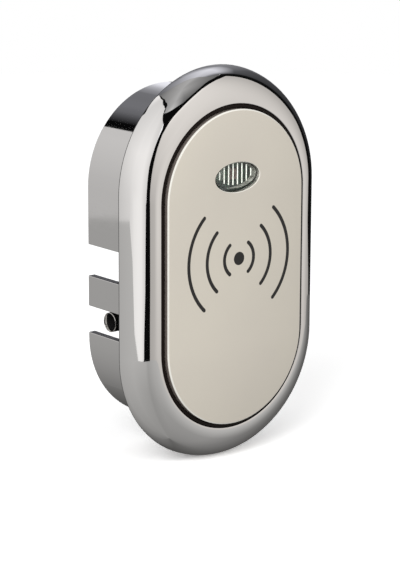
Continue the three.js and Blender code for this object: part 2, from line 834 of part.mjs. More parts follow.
function boltOutline() {
  const tipZ = rackPitchZ - rackModule;
  const rootZ = rackPitchZ + rootShare * rackModule;
  const halfAt = (z) => rackTooth / 4 - backlash / 2 + (z - rackPitchZ) * Math.tan(flank);
  const first = Math.ceil((rackStart - gearX + halfAt(rootZ)) / rackTooth - 0.5);
  const last = Math.floor((rackEnd - gearX - halfAt(rootZ)) / rackTooth - 0.5);
  const points = [
    [boltTip, boltBottom + boltChamfer],
    [boltTip + boltChamfer, boltBottom],
    [rackStart, boltBottom],
    [rackStart, rootZ],
  ];
  for (let tooth = first; tooth <= last; tooth += 1) {
    const middle = gearX + (tooth + 0.5) * rackTooth;
    points.push([middle - halfAt(rootZ), rootZ], [middle - halfAt(tipZ), tipZ]);
    points.push([middle + halfAt(tipZ), tipZ], [middle + halfAt(rootZ), rootZ]);
  }
  points.push([rackEnd, rootZ], [rackEnd, boltTop]);
  points.push([boltTip + boltChamfer, boltTop], [boltTip, boltTop - boltChamfer]);
  return new THREE.Shape(points.map(([x, z]) => new THREE.Vector2(x, z)));
}

const flagFront = boltSetback + (boltThickness - flagThickness) / 2;
const flagTop = boltTop - boltSideGap;

function makeBolt() {
  const flagRear = flagFront + flagThickness;
  const flagRight = rackEnd + flagLength;
  return plate(boltOutline(), boltSetback, boltRear)
    .add(block(rackEnd - boltChamfer, flagRight, flagFront, flagRear, flagTop - flagHeight, flagTop));
}

const sensorLeft = rackEnd + sensorGap;
const sensorTop = boltTop;
const sensorBottom = boltBottom + sensorInset;

function makeSensor() {
  const sensorRight = sensorLeft + sensorLength;
  const slotFront = flagFront + flagThickness / 2 - sensorSlot / 2;
  const slotRear = slotFront + sensorSlot;
  const slotLeft = sensorLeft - overrun;
  const slotRight = sensorRight - sensorBase;
  return block(sensorLeft, sensorRight, boltSetback, boltRear, sensorBottom, sensorTop)
    .subtract(block(slotLeft, slotRight, slotFront, slotRear, sensorBottom - overrun, sensorTop + overrun));
}

// Gear plate: flat steel over the bolt's channel, with a lobe round the pinion
const plateScrewX = gearX + plateScrewReach;
const plateScrewZ = wormZ + motorWidth / 2 + plateScrewRaise;
const gearPlateRight = plateScrewX + plateScrewMargin;
const pinionHole = pinionTip + seatGap;

function makeGearPlate() {
  const bottom = wormZ + motorWidth / 2 + gearPlateGap;
  const outline = rectangle(chamberLeft + seatGap, gearPlateRight - seatGap, bottom, chamberTop - seatGap);
  return plate(outline, gearPlateFront, gearPlateRear)
    .add(disc(gearX, gearZ, gearPlateLobe, gearPlateFront, gearPlateRear, 2 * largeRound))
    .subtract(disc(gearX, gearZ, pinionHole, gearPlateFront - overrun, gearPlateRear + overrun))
    .subtract(screwHole(plateScrewX, plateScrewZ, gearPlateFront, gearPlateRear));
}

function makeArbor() {
  return disc(gearX, gearZ, arborRadius, boltSetback - arborSeat, coverFront - seatGap);
}

// Sleeve: a tube with a wide mouth and a narrower tapped bore, flush with the skirt's outer face
const sleeveLeft = -skirtWidth / 2;
const sleeveRight = chassisLeft + sleeveSeat;

function makeSleeve() {
  const mouthEnd = sleeveLeft + sleeveMouthDepth;
  return bar(circle(sleeveY, sleeveZ, sleeveDiameter / 2), sleeveLeft, sleeveRight)
    .subtract(bar(circle(sleeveY, sleeveZ, sleeveMouth / 2), sleeveLeft - overrun, mouthEnd))
    .subtract(bar(circle(sleeveY, sleeveZ, sleeveBore / 2), sleeveLeft, sleeveRight + overrun));
}

// Cell: a can with a grooved shoulder and a nub
function makeCell(layer, row, side) {
  const end = side * (contactX - seatGap);
  const at = (distance) => end - side * distance;
  const nub = [at(0), at(2 * cellNub)].sort((a, b) => a - b);
  const can = [at(cellNub), at(cellLength)].sort((a, b) => a - b);
  const groove = [at(cellNub + cellRim), at(cellNub + 3 * cellRim)].sort((a, b) => a - b);
  const round = (radiusAt, ends) => bar(circle(layerY[layer], rowZ[row], radiusAt), ends[0], ends[1]);
  const ring = round(cellRadius + overrun, groove)
    .subtract(round(cellRadius - cellRim, [-cellLength, cellLength]));
  return round(cellRadius, can).subtract(ring).add(round(cellNubRadius, nub));
}

// A conical spring wound from the contact plate towards the cell's flat end
class ConicalSpring extends THREE.Curve {
  constructor(side, y, z) {
    super();
    Object.assign(this, { side, y, z });
  }

  getPoint(share) {
    const angle = share * springTurns * 2 * Math.PI;
    const radius = springFootRadius + (springTopRadius - springFootRadius) * share;
    const start = contactX - runningGap - springWire / 2;
    const rise = springSpace - seatGap - springWire - 2 * runningGap;
    return new THREE.Vector3(
      this.side * (start - rise * share),
      this.y + radius * Math.cos(angle),
      this.z + radius * Math.sin(angle),
    );
  }
}

function makeSpring(layer, row, side) {
  const wire = new THREE.Shape().absarc(0, 0, springWire / 2, 0, 2 * Math.PI);
  const path = new ConicalSpring(side, layerY[layer], rowZ[row]);
  return solid(new THREE.ExtrudeGeometry(wire, {
    extrudePath: path,
    steps: springTurns * springSteps,
    curveSegments: wireSteps,
  }));
}

function makeContact(side, layers, rows) {
  const [inner, outer] = [side * contactX, side * (contactX + contactThickness)].sort((a, b) => a - b);
  const half = contactWidth / 2;
  return block(inner, outer, layerY[layers[0]] - half, layerY[layers.at(-1)] + half,
    rowZ[rows[0]] - half, rowZ[rows.at(-1)] + half);
}

// Chassis
const lidHingeX = chassisWidth / 2 - lidHingeInset;
const lidHingeY = coverFront + lidHingeDepth;
const lidHingeBottom = bayRaise;
const coverScrewPlaces = [
  { x: chassisWidth / 2 - cornerScrewInset, z: -cornerScrewDrop, front: chassisRear },
  { x: chassisLeft + footScrewInset, z: -footScrewDrop, front: chassisRear },
  { x: leftFoot.x, z: leftFoot.z, front: leftFoot.rear },
  { x: rightFoot.x, z: rightFoot.z, front: rightFoot.rear },
];

// Ear that carries one end of the lid's barrel
function makeLidEar(bottom) {
  const topEdge = bottom + lidEarThickness;
  const [left, rightEdge] = [lidHingeX - lidEarRadius, lidHingeX + lidEarRadius];
  const foot = rectangle(left, rightEdge, chassisRear - overrun, lidHingeY);
  const pinHole = circle(lidHingeX, lidHingeY, lidPinRadius + runningGap);
  return column(foot, bottom, topEdge)
    .add(column(circle(lidHingeX, lidHingeY, lidEarRadius), bottom, topEdge))
    .subtract(column(pinHole, bottom - overrun, topEdge + overrun));
}

// What the drive needs cut out of the chassis, open towards the rear
function driveSpace() {
  const shaft = shaftRadius + runningGap;
  const nose = motorNoseRadius + seatGap;
  const motorHalf = [motorThickness / 2 + seatGap, motorWidth / 2 + seatGap];
  const wormHalf = wormLength / 2 + 2 * seatGap;
  const wormSpace = wormTip + seatGap;
  const open = chassisRear + overrun;
  const pockets = [
    block(chamberLeft, gearPlateRight, boltRear, open, gearZ - wheelTip - seatGap, chamberTop),
    disc(gearX, gearZ, pinionHole, boltSetback - seatGap, boltRear + overrun),
    block(gearX - wormHalf, motorX, wormY - wormSpace, open, wormZ - wormSpace, wormZ + wormTip),
    block(motorX - motorNose - seatGap, motorX, wormY - nose, open, wormZ - nose, wormZ + nose),
    block(chamberLeft, gearX, wormY - shaft, open, wormZ - shaft, wormZ + shaft),
    block(motorX - seatGap, motorEnd, wormY - motorHalf[0], open, wormZ - motorHalf[1], wormZ + motorHalf[1]),
  ];
  const channelRight = sensorLeft + sensorLength + seatGap;
  return pockets.reduce((space, pocket) => space.add(pocket), block(
    chassisLeft - overrun,
    channelRight,
    boltSetback - seatGap,
    boltRear + overrun,
    boltBottom - boltGuideGap,
    boltTop + boltGuideGap,
  ));
}

// The chassis's front is cored out behind the board, except round the arbor
function chassisCore() {
  const rim = 2 * chassisWall;
  const rear = boltSetback - seatGap - reliefFloor;
  const [left, rightEdge] = [chassisLeft + rim, chassisWidth / 2 - rim];
  return block(left, rightEdge, chassisFront - overrun, rear, chassisBottom + rim, bayRaise - rim)
    .subtract(disc(gearX, gearZ, hubRadius, chassisFront - 2 * overrun, skirtDepth));
}

function makeChassis() {
  const inside = stadiumPlate(chassisWidth, chassisHeight, chassisFront, coverRear);
  const [before, behind] = [chassisFront - overrun, chassisRear + overrun];
  const earFront = chassisRear - earThickness;
  const [pocketBottom, pocketTop] = [chassisBottom - overrun, bayRaise - overrun];
  const latchPocket = block(-skirtWidth, chassisLeft, before, behind, pocketBottom, pocketTop);
  const bay = block(-bayHalf, bayHalf, bayFloor, chassisRear, bayRaise, bayTop);
  const arborHole = arborRadius + runningGap;
  let body = stadiumPlate(chassisWidth, chassisHeight, chassisFront, chassisRear)
    .intersect(block(-skirtWidth, skirtWidth, before, behind, chassisBottom, chassisTop))
    .subtract(latchPocket)
    .subtract(block(-bayHalf, bayHalf, bayFloor, behind, bayRaise, bayTop))
    .subtract(driveSpace())
    .subtract(chassisCore())
    .subtract(disc(gearX, gearZ, arborHole, boltSetback - arborSeat - seatGap, boltRear));

  const sleeveHole = sleeveDiameter / 2 + runningGap;
  const sleeveBoss = sleeveHole + sleeveBossWall;
  const sleeveBossLeft = chassisLeft - sleeveBossShare * latchSpace;
  body = body
    .add(bar(circle(sleeveY, sleeveZ, sleeveBoss), sleeveBossLeft, chassisLeft + runningGap))
    .subtract(bar(circle(sleeveY, sleeveZ, sleeveHole), sleeveLeft, sleeveRight + seatGap));

  for (const { x, z } of [leftEar, rightEar]) {
    const arm = block(x - armWidth / 2, x + armWidth / 2, earFront, chassisRear, chassisTop - overrun, z)
      .add(disc(x, z, earRadius, earFront, chassisRear));
    body = body
      .add(arm.intersect(inside))
      .subtract(disc(x, z, pilot(largeShank), earFront - overrun, behind, smallRound));
  }
  for (const { x, z } of coverScrewPlaces.slice(0, 2)) {
    body = body.subtract(disc(x, z, pilot(largeShank), chassisRear - bossDepth, behind, smallRound));
  }
  const plateScrewEnds = [boltRear - smallLength, boltRear + overrun];
  body = body.subtract(disc(plateScrewX, plateScrewZ, pilot(smallShank), ...plateScrewEnds, smallRound));
  const secondEar = lidHingeBottom + lidHingeLength - lidEarThickness;
  return body.add(makeLidEar(lidHingeBottom)).add(makeLidEar(secondEar)).subtract(bay);
}

// Covers at the back. Beyond its barrel the lid's edge steps back, to clear the skirt as it opens
const coverWidth = skirtInnerWidth - 2 * coverGap;
const coverHeight = skirtInnerHeight - 2 * coverGap;

// The rib that stiffens a cover's edge and stands just behind the chassis
function makeCoverRib() {
  const ribFront = chassisRear + seatGap;
  const inside = [coverWidth - 2 * coverRib, coverHeight - 2 * coverRib];
  return stadiumPlate(coverWidth, coverHeight, ribFront, coverRear - coverThickness / 2)
    .subtract(stadiumPlate(...inside, ribFront - overrun, coverRear));
}

function makeRearCover() {
  const ribFront = chassisRear + seatGap;
  const below = block(-skirtWidth, skirtWidth, chassisFront, skirtDepth, -skirtHeight, splitZ - coverSplit);
  const latchEdge = chassisLeft - latchCutInset;
  const latchCut = block(-skirtWidth, latchEdge, chassisFront, skirtDepth, -latchCutDrop, skirtHeight);
  const rib = makeCoverRib();
  let body = stadiumPlate(coverWidth, coverHeight, coverFront, coverRear).add(rib)
    .intersect(below).subtract(latchCut);
  for (const { x, z, front: seat } of coverScrewPlaces) {
    if (seat === chassisRear) body = body.add(disc(x, z, coverBossRadius, ribFront, coverFront));
    else body = body.subtract(disc(x, z, bossRadius + seatGap, ribFront - overrun, coverFront));
    body = body
      .subtract(disc(x, z, largeShank + 2 * runningGap, ribFront - overrun, skirtDepth, smallRound))
      .subtract(disc(x, z, largeHead + counterboreGap, coverRear - counterboreDepth, skirtDepth));
  }
  const bossFront = hubRear + seatGap;
  return body
    .add(disc(gearX, gearZ, coverBossRadius, bossFront, coverFront))
    .subtract(disc(gearX, gearZ, arborRadius + runningGap, bossFront - overrun, coverFront - runningGap));
}

function makeLid() {
  const ribFront = chassisRear + seatGap;
  const hingeTop = lidHingeBottom + lidHingeLength;
  const above = block(-skirtWidth, lidHingeX, chassisFront, skirtDepth, splitZ, skirtHeight);
  const ribSide = block(-skirtWidth, lidHingeX / 2, chassisFront, skirtDepth, splitZ, skirtHeight);
  const rib = makeCoverRib()
    .intersect(ribSide)
    .subtract(disc(leftEar.x, leftEar.z, largeHead + seatGap, ribFront - overrun, coverFront))
    .subtract(disc(rightEar.x, rightEar.z, largeHead + seatGap, ribFront - overrun, coverFront));
  const earRoom = lidEarRadius + seatGap;
  const firstEar = block(lidHingeX - earRoom, skirtWidth, ribFront, skirtDepth, splitZ - overrun,
    lidHingeBottom + lidEarThickness + seatGap);
  const barrelBottom = lidHingeBottom + lidEarThickness + seatGap;
  const barrelTop = hingeTop - lidEarThickness - seatGap;
  const shoulder = block(lidHingeX - lidShoulder, skirtWidth, ribFront, skirtDepth, barrelTop, skirtHeight);
  const tongueLeft = -coverWidth / 2 + lidTongueInset;
  const tongueMiddle = lidHingeBottom + lidHingeLength / 2;
  const tongueHalf = lidTongueWidth / 2;
  const slot = block(tongueLeft, tongueLeft + lidTongueLength, coverFront - overrun, skirtDepth,
    tongueMiddle - tongueHalf - lidTongueSlot, tongueMiddle + tongueHalf + lidTongueSlot)
    .subtract(block(tongueLeft + lidTongueSlot, tongueLeft + 2 * lidTongueLength, coverFront - 2 * overrun,
      skirtDepth + overrun, tongueMiddle - tongueHalf, tongueMiddle + tongueHalf));
  const ridgeLeft = tongueLeft + 2 * lidTongueSlot;
  return stadiumPlate(coverWidth, coverHeight, coverFront, coverRear).intersect(above).add(rib)
    .subtract(firstEar).subtract(shoulder).subtract(slot)
    .add(column(circle(lidHingeX, lidHingeY, lidBarrelRadius), barrelBottom, barrelTop))
    .add(column(circle(lidHingeX, lidHingeY, lidPinRadius), lidHingeBottom + seatGap, hingeTop - seatGap))
    .add(block(ridgeLeft, ridgeLeft + lidRidge, coverFront, coverRear + lidRidgeHeight,
      tongueMiddle - tongueHalf, tongueMiddle + tongueHalf));
}

// The assembly, from the front to the back
add('housing', makeHousing(), chrome);
add('faceplate', makeFaceplate(), ivory);
add('faceplate_gasket', makeGasket(), blackRubber);
add('indicator_lens', makeLens(), clearPlastic);
add('antenna_coil', makeCoil(), copper);
add('circuit_board', makeBoard(), boardGreen);
add('led_green', makeLed(-1), lampGreen);
add('led_red', makeLed(1), lampRed);
add('reader_chip', makeChip(0, readerChipRaise, readerChipSize, readerChipSize), epoxyBlack);
add('controller_chip', makeChip(controllerX, -controllerDrop, controllerWidth, controllerLength), epoxyBlack);
add('quartz_crystal', makeCrystal(), nickel);
add('buzzer', makeBuzzer(), epoxyBlack);
add('battery_connector', makeConnector(-1), connectorWhite);
add('motor_connector', makeConnector(1), connectorWhite);
postPlaces.forEach(({ x, z }, place) => {
  add(`board_screw_${place + 1}`, screw(x, z, boardRear + runningGap, smallShank, smallHead, smallHeadHeight,
    boardRear - faceBack - 2 * seatGap), steel);
});
add('faceplate_screw_top', screw(0, lugZ, ledgeRear + runningGap, smallShank, smallHead, smallHeadHeight,
  smallLength), steel);
add('faceplate_screw_bottom', screw(0, -lugZ, ledgeRear + runningGap, smallShank, smallHead, smallHeadHeight,
  smallLength), steel);
add('chassis', makeChassis(), mouldedBlack);
add('chassis_screw_left', screw(leftEar.x, leftEar.z, chassisRear + runningGap, largeShank, largeHead,
  largeHeadHeight, largeLength), steel);
add('chassis_screw_right', screw(rightEar.x, rightEar.z, chassisRear + runningGap, largeShank, largeHead,
  largeHeadHeight, largeLength), steel);
add('bolt', makeBolt(), nickel);
add('gear_plate', makeGearPlate(), steel);
add('gear_plate_screw', screw(plateScrewX, plateScrewZ, gearPlateRear + runningGap, smallShank, smallHead,
  smallHeadHeight, smallLength), steel);
add('drive_wheel', makeDriveWheel(), acetalWhite);
add('wheel_arbor', makeArbor(), steel);
add('worm', makeWorm(), brass);
add('motor_shaft', makeMotorShaft(), steel);
add('motor_can', makeMotorCan(), steel);
add('motor_end_cap', makeMotorCap(), epoxyBlack);
add('bolt_sensor', makeSensor(), epoxyBlack);
add('side_sleeve', makeSleeve(), nickel);

// Cells in series: A and D lie in the lower row, B and C in the upper one
const cells = [
  { layer: 0, row: 0, side: 1 },
  { layer: 0, row: 1, side: -1 },
  { layer: 1, row: 1, side: 1 },
  { layer: 1, row: 0, side: -1 },
];
cells.forEach(({ layer, row, side }, place) => {
  add(`battery_cell_${place + 1}`, makeCell(layer, row, side), cellSleeve);
  add(`battery_spring_${place + 1}`, makeSpring(layer, row, -side), nickel);
});
add('contact_left_front', makeContact(-1, [0], [0, 1]), nickel);
add('contact_left_rear', makeContact(-1, [1], [0, 1]), nickel);
add('contact_right_bridge', makeContact(1, [0, 1], [1]), nickel);
add('terminal_positive', makeContact(1, [0], [0]), nickel);
add('terminal_negative', makeContact(1, [1], [0]), nickel);
add('rear_cover', makeRearCover(), mouldedBlack);
coverScrewPlaces.forEach(({ x, z }, place) => {
  add(`rear_cover_screw_${place + 1}`, screw(x, z, coverRear - counterboreDepth + runningGap, largeShank,
    largeHead, counterboreDepth - runningGap, largeLength), steel);
});
add('battery_lid', makeLid(), mouldedBlack);

export default group;
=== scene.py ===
import json
import math

import bmesh
import bpy
from mathutils import Matrix, Vector

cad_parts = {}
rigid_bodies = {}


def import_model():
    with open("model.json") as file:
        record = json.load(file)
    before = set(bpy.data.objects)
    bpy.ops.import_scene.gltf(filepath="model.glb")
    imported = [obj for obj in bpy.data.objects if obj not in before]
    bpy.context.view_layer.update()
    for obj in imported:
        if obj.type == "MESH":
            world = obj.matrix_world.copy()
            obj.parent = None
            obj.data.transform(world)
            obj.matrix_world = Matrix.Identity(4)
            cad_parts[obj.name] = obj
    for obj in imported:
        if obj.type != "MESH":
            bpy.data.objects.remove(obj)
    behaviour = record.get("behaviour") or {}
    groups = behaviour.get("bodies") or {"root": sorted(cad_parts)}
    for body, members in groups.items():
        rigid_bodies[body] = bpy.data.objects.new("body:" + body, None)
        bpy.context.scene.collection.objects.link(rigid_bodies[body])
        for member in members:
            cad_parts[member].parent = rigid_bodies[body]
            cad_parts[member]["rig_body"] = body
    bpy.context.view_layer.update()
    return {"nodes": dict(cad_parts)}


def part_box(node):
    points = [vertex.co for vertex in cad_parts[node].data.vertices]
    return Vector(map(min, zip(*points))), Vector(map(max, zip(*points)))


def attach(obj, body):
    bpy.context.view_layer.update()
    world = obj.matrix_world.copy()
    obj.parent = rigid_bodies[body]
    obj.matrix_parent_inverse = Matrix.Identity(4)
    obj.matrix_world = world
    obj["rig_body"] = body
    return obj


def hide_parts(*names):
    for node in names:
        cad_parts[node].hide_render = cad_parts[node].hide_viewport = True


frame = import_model()
nodes = frame["nodes"]
scene = bpy.context.scene
scene.view_settings.view_transform = "Standard"


# Camera: to the left of the lock and a little above it, with a long lens.
# Its small shift sets the lock right of the middle, as the photograph does.
camera = bpy.data.objects.new("camera", bpy.data.cameras.new("camera"))
scene.collection.objects.link(camera)
scene.camera = camera
camera.data.sensor_width = 36
camera.data.lens = 141.1
camera.data.shift_x = -0.064
camera.data.shift_y = -0.0286
camera_yaw = math.radians(40.57)
camera_rise = math.radians(13.2)
camera_roll = math.radians(0.45)
camera_distance = 0.6438
camera_target = Vector((0, -0.0107, 0))
towards_camera = Vector((
    -math.sin(camera_yaw) * math.cos(camera_rise),
    -math.cos(camera_yaw) * math.cos(camera_rise),
    math.sin(camera_rise),
))
level = Vector((math.cos(camera_yaw), -math.sin(camera_yaw), 0))
upright = towards_camera.cross(level)
axes = Matrix((level, upright, towards_camera)).transposed()
camera.matrix_world = (
    Matrix.Translation(camera_target + towards_camera * camera_distance)
    @ axes.to_4x4()
    @ Matrix.Rotation(camera_roll, 4, "Z")
)


# Floor: a plain white sheet that the lock stands on. The camera sees it white, with the lock's
# shadow on it, and it lights the lock from below as a pale grey one would.
def material(name):
    made = bpy.data.materials.new(name)
    made.use_nodes = True
    made.node_tree.nodes.clear()
    return made


def node(owner, kind, **settings):
    made = owner.node_tree.nodes.new(kind)
    for key, value in settings.items():
        setattr(made, key, value)
    return made


def join(owner, source, socket, target, entry):
    owner.node_tree.links.new(source.outputs[socket], target.inputs[entry])


def finished(name, bm, *coats):
    mesh = bpy.data.meshes.new(name)
    bm.to_mesh(mesh)
    bm.free()
    for coat in coats:
        mesh.materials.append(coat)
    made = bpy.data.objects.new(name, mesh)
    scene.collection.objects.link(made)
    return made


floor_height = -0.05805
floor_reach = 0.8
floor_grey = 0.55
floor_white = 1.6
paper = material("white_paper")
paper_sheet = node(paper, "ShaderNodeBsdfDiffuse")
paper_tone = node(paper, "ShaderNodeMix", data_type="RGBA")
paper_tone.inputs["A"].default_value = (floor_grey, floor_grey, floor_grey, 1)
paper_tone.inputs["B"].default_value = (floor_white, floor_white, floor_white, 1)
paper_path = node(paper, "ShaderNodeLightPath")
paper_end = node(paper, "ShaderNodeOutputMaterial")
join(paper, paper_path, "Is Camera Ray", paper_tone, "Factor")
join(paper, paper_tone, "Result", paper_sheet, "Color")
join(paper, paper_sheet, "BSDF", paper_end, "Surface")
bm = bmesh.new()
bmesh.ops.create_circle(bm, cap_ends=True, segments=64, radius=floor_reach)
bmesh.ops.translate(bm, verts=bm.verts, vec=(0, 0, floor_height))
floor = finished("floor", bm, paper)
floor.visible_glossy = False


# Room: plain white surroundings. The camera, the polished surfaces and the window show them
# white, and they light the lock at half that level.
world = bpy.data.worlds.new("white_room")
scene.world = world
world.use_nodes = True
world.node_tree.nodes.clear()
room_level = 0.5
room_path = node(world, "ShaderNodeLightPath")
room_seen = node(world, "ShaderNodeMath", operation="MAXIMUM")
room_clear = node(world, "ShaderNodeMath", operation="MAXIMUM")
room_light = node(world, "ShaderNodeMix", data_type="FLOAT")
room_light.inputs["A"].default_value = room_level
room_light.inputs["B"].default_value = 1
room_shade = node(world, "ShaderNodeBackground")
room_shade.inputs["Color"].default_value = (1, 1, 1, 1)
room_end = node(world, "ShaderNodeOutputWorld")
join(world, room_path, "Is Camera Ray", room_seen, 0)
join(world, room_path, "Is Glossy Ray", room_seen, 1)
join(world, room_seen, 0, room_clear, 0)
join(world, room_path, "Is Transmission Ray", room_clear, 1)
join(world, room_clear, 0, room_light, "Factor")
join(world, room_light, "Result", room_shade, "Strength")
join(world, room_shade, "Background", room_end, "Surface")


# Studio: soft boxes, black flags and grey walls stand round the lock, far outside the picture.
# Only the lock's polished surfaces mirror them. A corner is given by its turn from the front
# towards the left and its height, in degrees, and its brightness, unless it is black.
card_light = material("card_light")
card_value = node(card_light, "ShaderNodeAttribute", attribute_name="brightness")
card_glow = node(card_light, "ShaderNodeEmission")
card_end = node(card_light, "ShaderNodeOutputMaterial")
join(card_light, card_value, "Color", card_glow, "Color")
join(card_light, card_glow, "Emission", card_end, "Surface")
card_light.cycles.emission_sampling = "NONE"
black = 0.003
slate = 0.1
neutral = (1, 1, 1)
cool = (0.98, 0.98, 1.04)
card_steps = 12


def card(name, distance, tint, *rows):
    """A card whose corners are given in rows from its lower edge to its upper one."""
    bm = bmesh.new()
    brightness = bm.verts.layers.float_color.new("brightness")
    rows = [[Vector((*corner, black)[:3]) for corner in row] for row in rows]
    for low, high in zip(rows, rows[1:]):
        for low_left, low_right, high_left, high_right in zip(low, low[1:], high, high[1:]):
            grid = bmesh.ops.create_grid(bm, x_segments=card_steps, y_segments=card_steps, size=0.5)
            for v in grid["verts"]:
                across = v.co.x + 0.5
                lower = low_left.lerp(low_right, across)
                upper = high_left.lerp(high_right, across)
                turn, height, light = lower.lerp(upper, v.co.y + 0.5)
                turn = math.radians(turn)
                height = math.radians(height)
                v.co = distance * Vector((
                    -math.sin(turn) * math.cos(height),
                    -math.cos(turn) * math.cos(height),
                    math.sin(height),
                ))
                v[brightness] = (light * tint[0], light * tint[1], light * tint[2], 1)
    made = finished(name, bm, card_light)
    made.visible_camera = False
    made.visible_diffuse = False
    made.visible_transmission = False
    made.visible_volume_scatter = False
    made.visible_shadow = False


def at_height(height, turns, lights):
    """A card's row of corners at one height."""
    return [(turn, height, light) for turn, light in zip(turns, lights)]


card("left_softbox", 2, (1, 0.975, 0.945),
     [(178, -11.3, 0.5), (166, -11.3, 0.5), (157, -11.3, 0.52), (149, -11.3, 0.55), (138, -11.3, 0.58),
      (100, -11.2, 0.68), (90, -12.6, 0.76), (84, -15.1, 0.84), (70, -16.1, 0.88), (57, -16.9, 0.86),
      (39, -17.1, 0.6)],
     [(176, 0, 0.54), (166, 0, 0.54), (157, 0, 0.56), (149, 0, 0.57), (138, 0, 0.6), (100, 0, 0.7),
      (90, 0, 0.76), (84, 0, 0.78), (70, 0, 0.84), (57, 0, 0.86), (33, 0, 0.66)],
     [(170, 28, 0.66), (162, 28, 0.67), (155, 28, 0.68), (149, 28, 0.7), (138, 28, 0.72), (100, 28, 0.82),
      (90, 28, 0.86), (84, 28, 0.86), (70, 28, 0.87), (57, 28, 0.88), (33, 28, 0.7)],
     [(176, 48, 0.9), (166, 56, 0.84), (157, 61, 0.72), (149, 65, 0.68), (138, 68.8, 0.68),
      (100, 71, 0.7), (90, 71, 0.72), (84, 71, 0.7), (70, 70.5, 0.7), (57, 63, 0.72), (33, 47, 0.64)])
card("softbox_rim", 1.95, neutral,
     [(177, 47.5), (166, 56), (157, 61), (149, 65), (138, 68.5), (120, 70.6), (88, 71), (67, 68.5),
      (55, 61)],
     [(173, 51), (164.5, 58.6), (156, 63.3), (148, 67.2), (137, 71), (120, 73.2), (88, 74.5), (67, 72),
      (55, 64.5)])
card("softbox_end", 1.95, (0.99, 0.99, 1.05),
     [(159.5, 30), (165, 34), (170, 35, 0.07), (176, 35, 0.16), (184, 35, 0.2), (190, 34, 0.2),
      (196, 31, 0.19), (204, 22, 0.2)],
     [(153.5, 43.5), (159, 44), (167, 44, 0.07), (175, 45, 0.16), (184, 46, 0.2), (190, 46, 0.2),
      (196, 46, 0.19), (204, 46, 0.2)])
card("far_glow", 2.2, cool,
     [(-141, 2, 1), (-144.5, 10, 0.95), (-148, 18, 0.6), (-152, 23, 0.34), (-157, 28, 0.22)],
     [(-141, 20, 1), (-144, 24, 0.9), (-148, 31, 0.45), (-151, 35, 0.34), (-155, 37, 0.24)])
card("flag", 1.95, neutral,
     [(49, -17.4), (19, -17.4)],
     [(46, -15.2), (18.5, -15.2)],
     [(41, -13.7), (17, -13.7)],
     [(39.5, -12), (17, -12)],
     [(35, -9), (18, -9)],
     [(34, 0), (19, 0)],
     [(36, 14), (21, 14)],
     [(34, 22), (22, 22)],
     [(32, 32), (21.5, 32)],
     [(29, 40), (15, 40)],
     [(31.5, 45.5), (8, 44)],
     [(58, 62.5), (9, 56.5)])
card("flag_arm", 1.95, neutral,
     [(10, 43), (0, 45.5), (-30, 56), (-45, 57.5), (-60, 57), (-84, 52)],
     [(10, 56.5), (0, 54.5), (-30, 61.5), (-45, 64), (-60, 64), (-84, 59)])
front_turns = (26, 16, 6, -8, -18, -30, -40, -72, -84)
card("front_softbox", 2.2, (1, 0.95, 0.89),
     [(26, -17, 0.38), (16, -17, 0.4), (6, -17, 0.42), (-8, -17, 0.46), (-18, -17, 0.5), (-30, -17, 0.54),
      (-40, -17, 0.54), (-72, -14, 0.4), (-84, -14, 0.4)],
     at_height(-12, front_turns, (0.42, 0.45, 0.45, 0.48, 0.6, 0.69, 0.65, 0.42, 0.4)),
     at_height(8, front_turns, (0.5, 0.56, 0.62, 0.68, 0.72, 0.71, 0.67, 0.46, 0.44)),
     [(26, 34, 0.62), (16, 34, 0.72), (6, 38.5, 0.76), (-8, 42, 0.77), (-18, 46, 0.76), (-30, 50, 0.74),
      (-40, 52, 0.7), (-72, 51, 0.5), (-84, 46, 0.48)],
     [(26, 46, 0.9), (16, 44, 0.96), (6, 45.5, 1), (-8, 49, 1), (-18, 53, 0.98), (-30, 57.5, 0.88),
      (-40, 59.5, 0.76), (-72, 57, 0.56), (-84, 55, 0.5)])
card("right_flag", 2.1, neutral,
     [(-69, -11.5), (-82, -13), (-94, -14)],
     [(-81, 5), (-82, 5), (-94, 5)],
     [(-80, 58), (-82, 58), (-94, 56, 0.01)])
card("dark_wall", 2.3, cool,
     [(-93, -14), (-122, -14, 0.012), (-134, -14, 0.05), (-160, -14, 0.2), (-185, -14, 0.05)],
     [(-93, 20, 0.03), (-122, 20, 0.07), (-140, 20, 0.3), (-160, 20, 0.15), (-197, 20, 0.04)],
     [(-93, 46, 0.05), (-108, 42, 0.1), (-132, 28, 0.2), (-160, 36, 0.16), (-196, 36, slate)],
     [(-93, 54, 0.06), (-110, 54, 0.62), (-132, 46, 0.78), (-162, 52, 0.32), (-188, 48, slate)],
     [(-93, 66, 0.12), (-110, 68, 0.48), (-132, 68, 0.58), (-162, 66, 0.38), (-184, 60, 0.22)])
card("far_gap", 2.2, neutral,
     [(-135.5, -16, 0.9), (-141, -17, 0.9)],
     [(-135.5, -4, 0.6), (-141, -4, 0.8)])
ceiling_turns = (180, 140, 100, 45, 28, 14, 0, -30, -60, -90, -110, -135, -180)
card("ceiling", 2.5, (1, 0.985, 0.965),
     [(180, 44, 0.1), (140, 58, 0.2), (100, 60, 0.28), (45, 58, 0.36), (28, 57, 0.6), (14, 55, 0.42),
      (0, 53, 0.12), (-30, 58, 0.12), (-60, 60, 0.12), (-90, 56, 0.12), (-110, 62, 0.3), (-135, 62, 0.46),
      (-180, 54, 0.16)],
     [(180, 66, 0.27), (140, 74, 0.28), (100, 74, 0.28), (45, 72, 0.38), (28, 70, 0.42), (14, 70, 0.32),
      (0, 68, 0.22), (-30, 68, 0.22), (-60, 68, 0.2), (-90, 68, 0.2), (-110, 70, 0.26), (-135, 72, 0.42),
      (-180, 70, 0.32)],
     at_height(90, ceiling_turns, (0.4, 0.4, 0.4, 0.42, 0.42, 0.42, 0.42, 0.42, 0.4, 0.38, 0.38, 0.4, 0.4)))
table_turns = (180, 140, 90, 40, 28, 0, -40, -62, -90, -120, -150, -180)
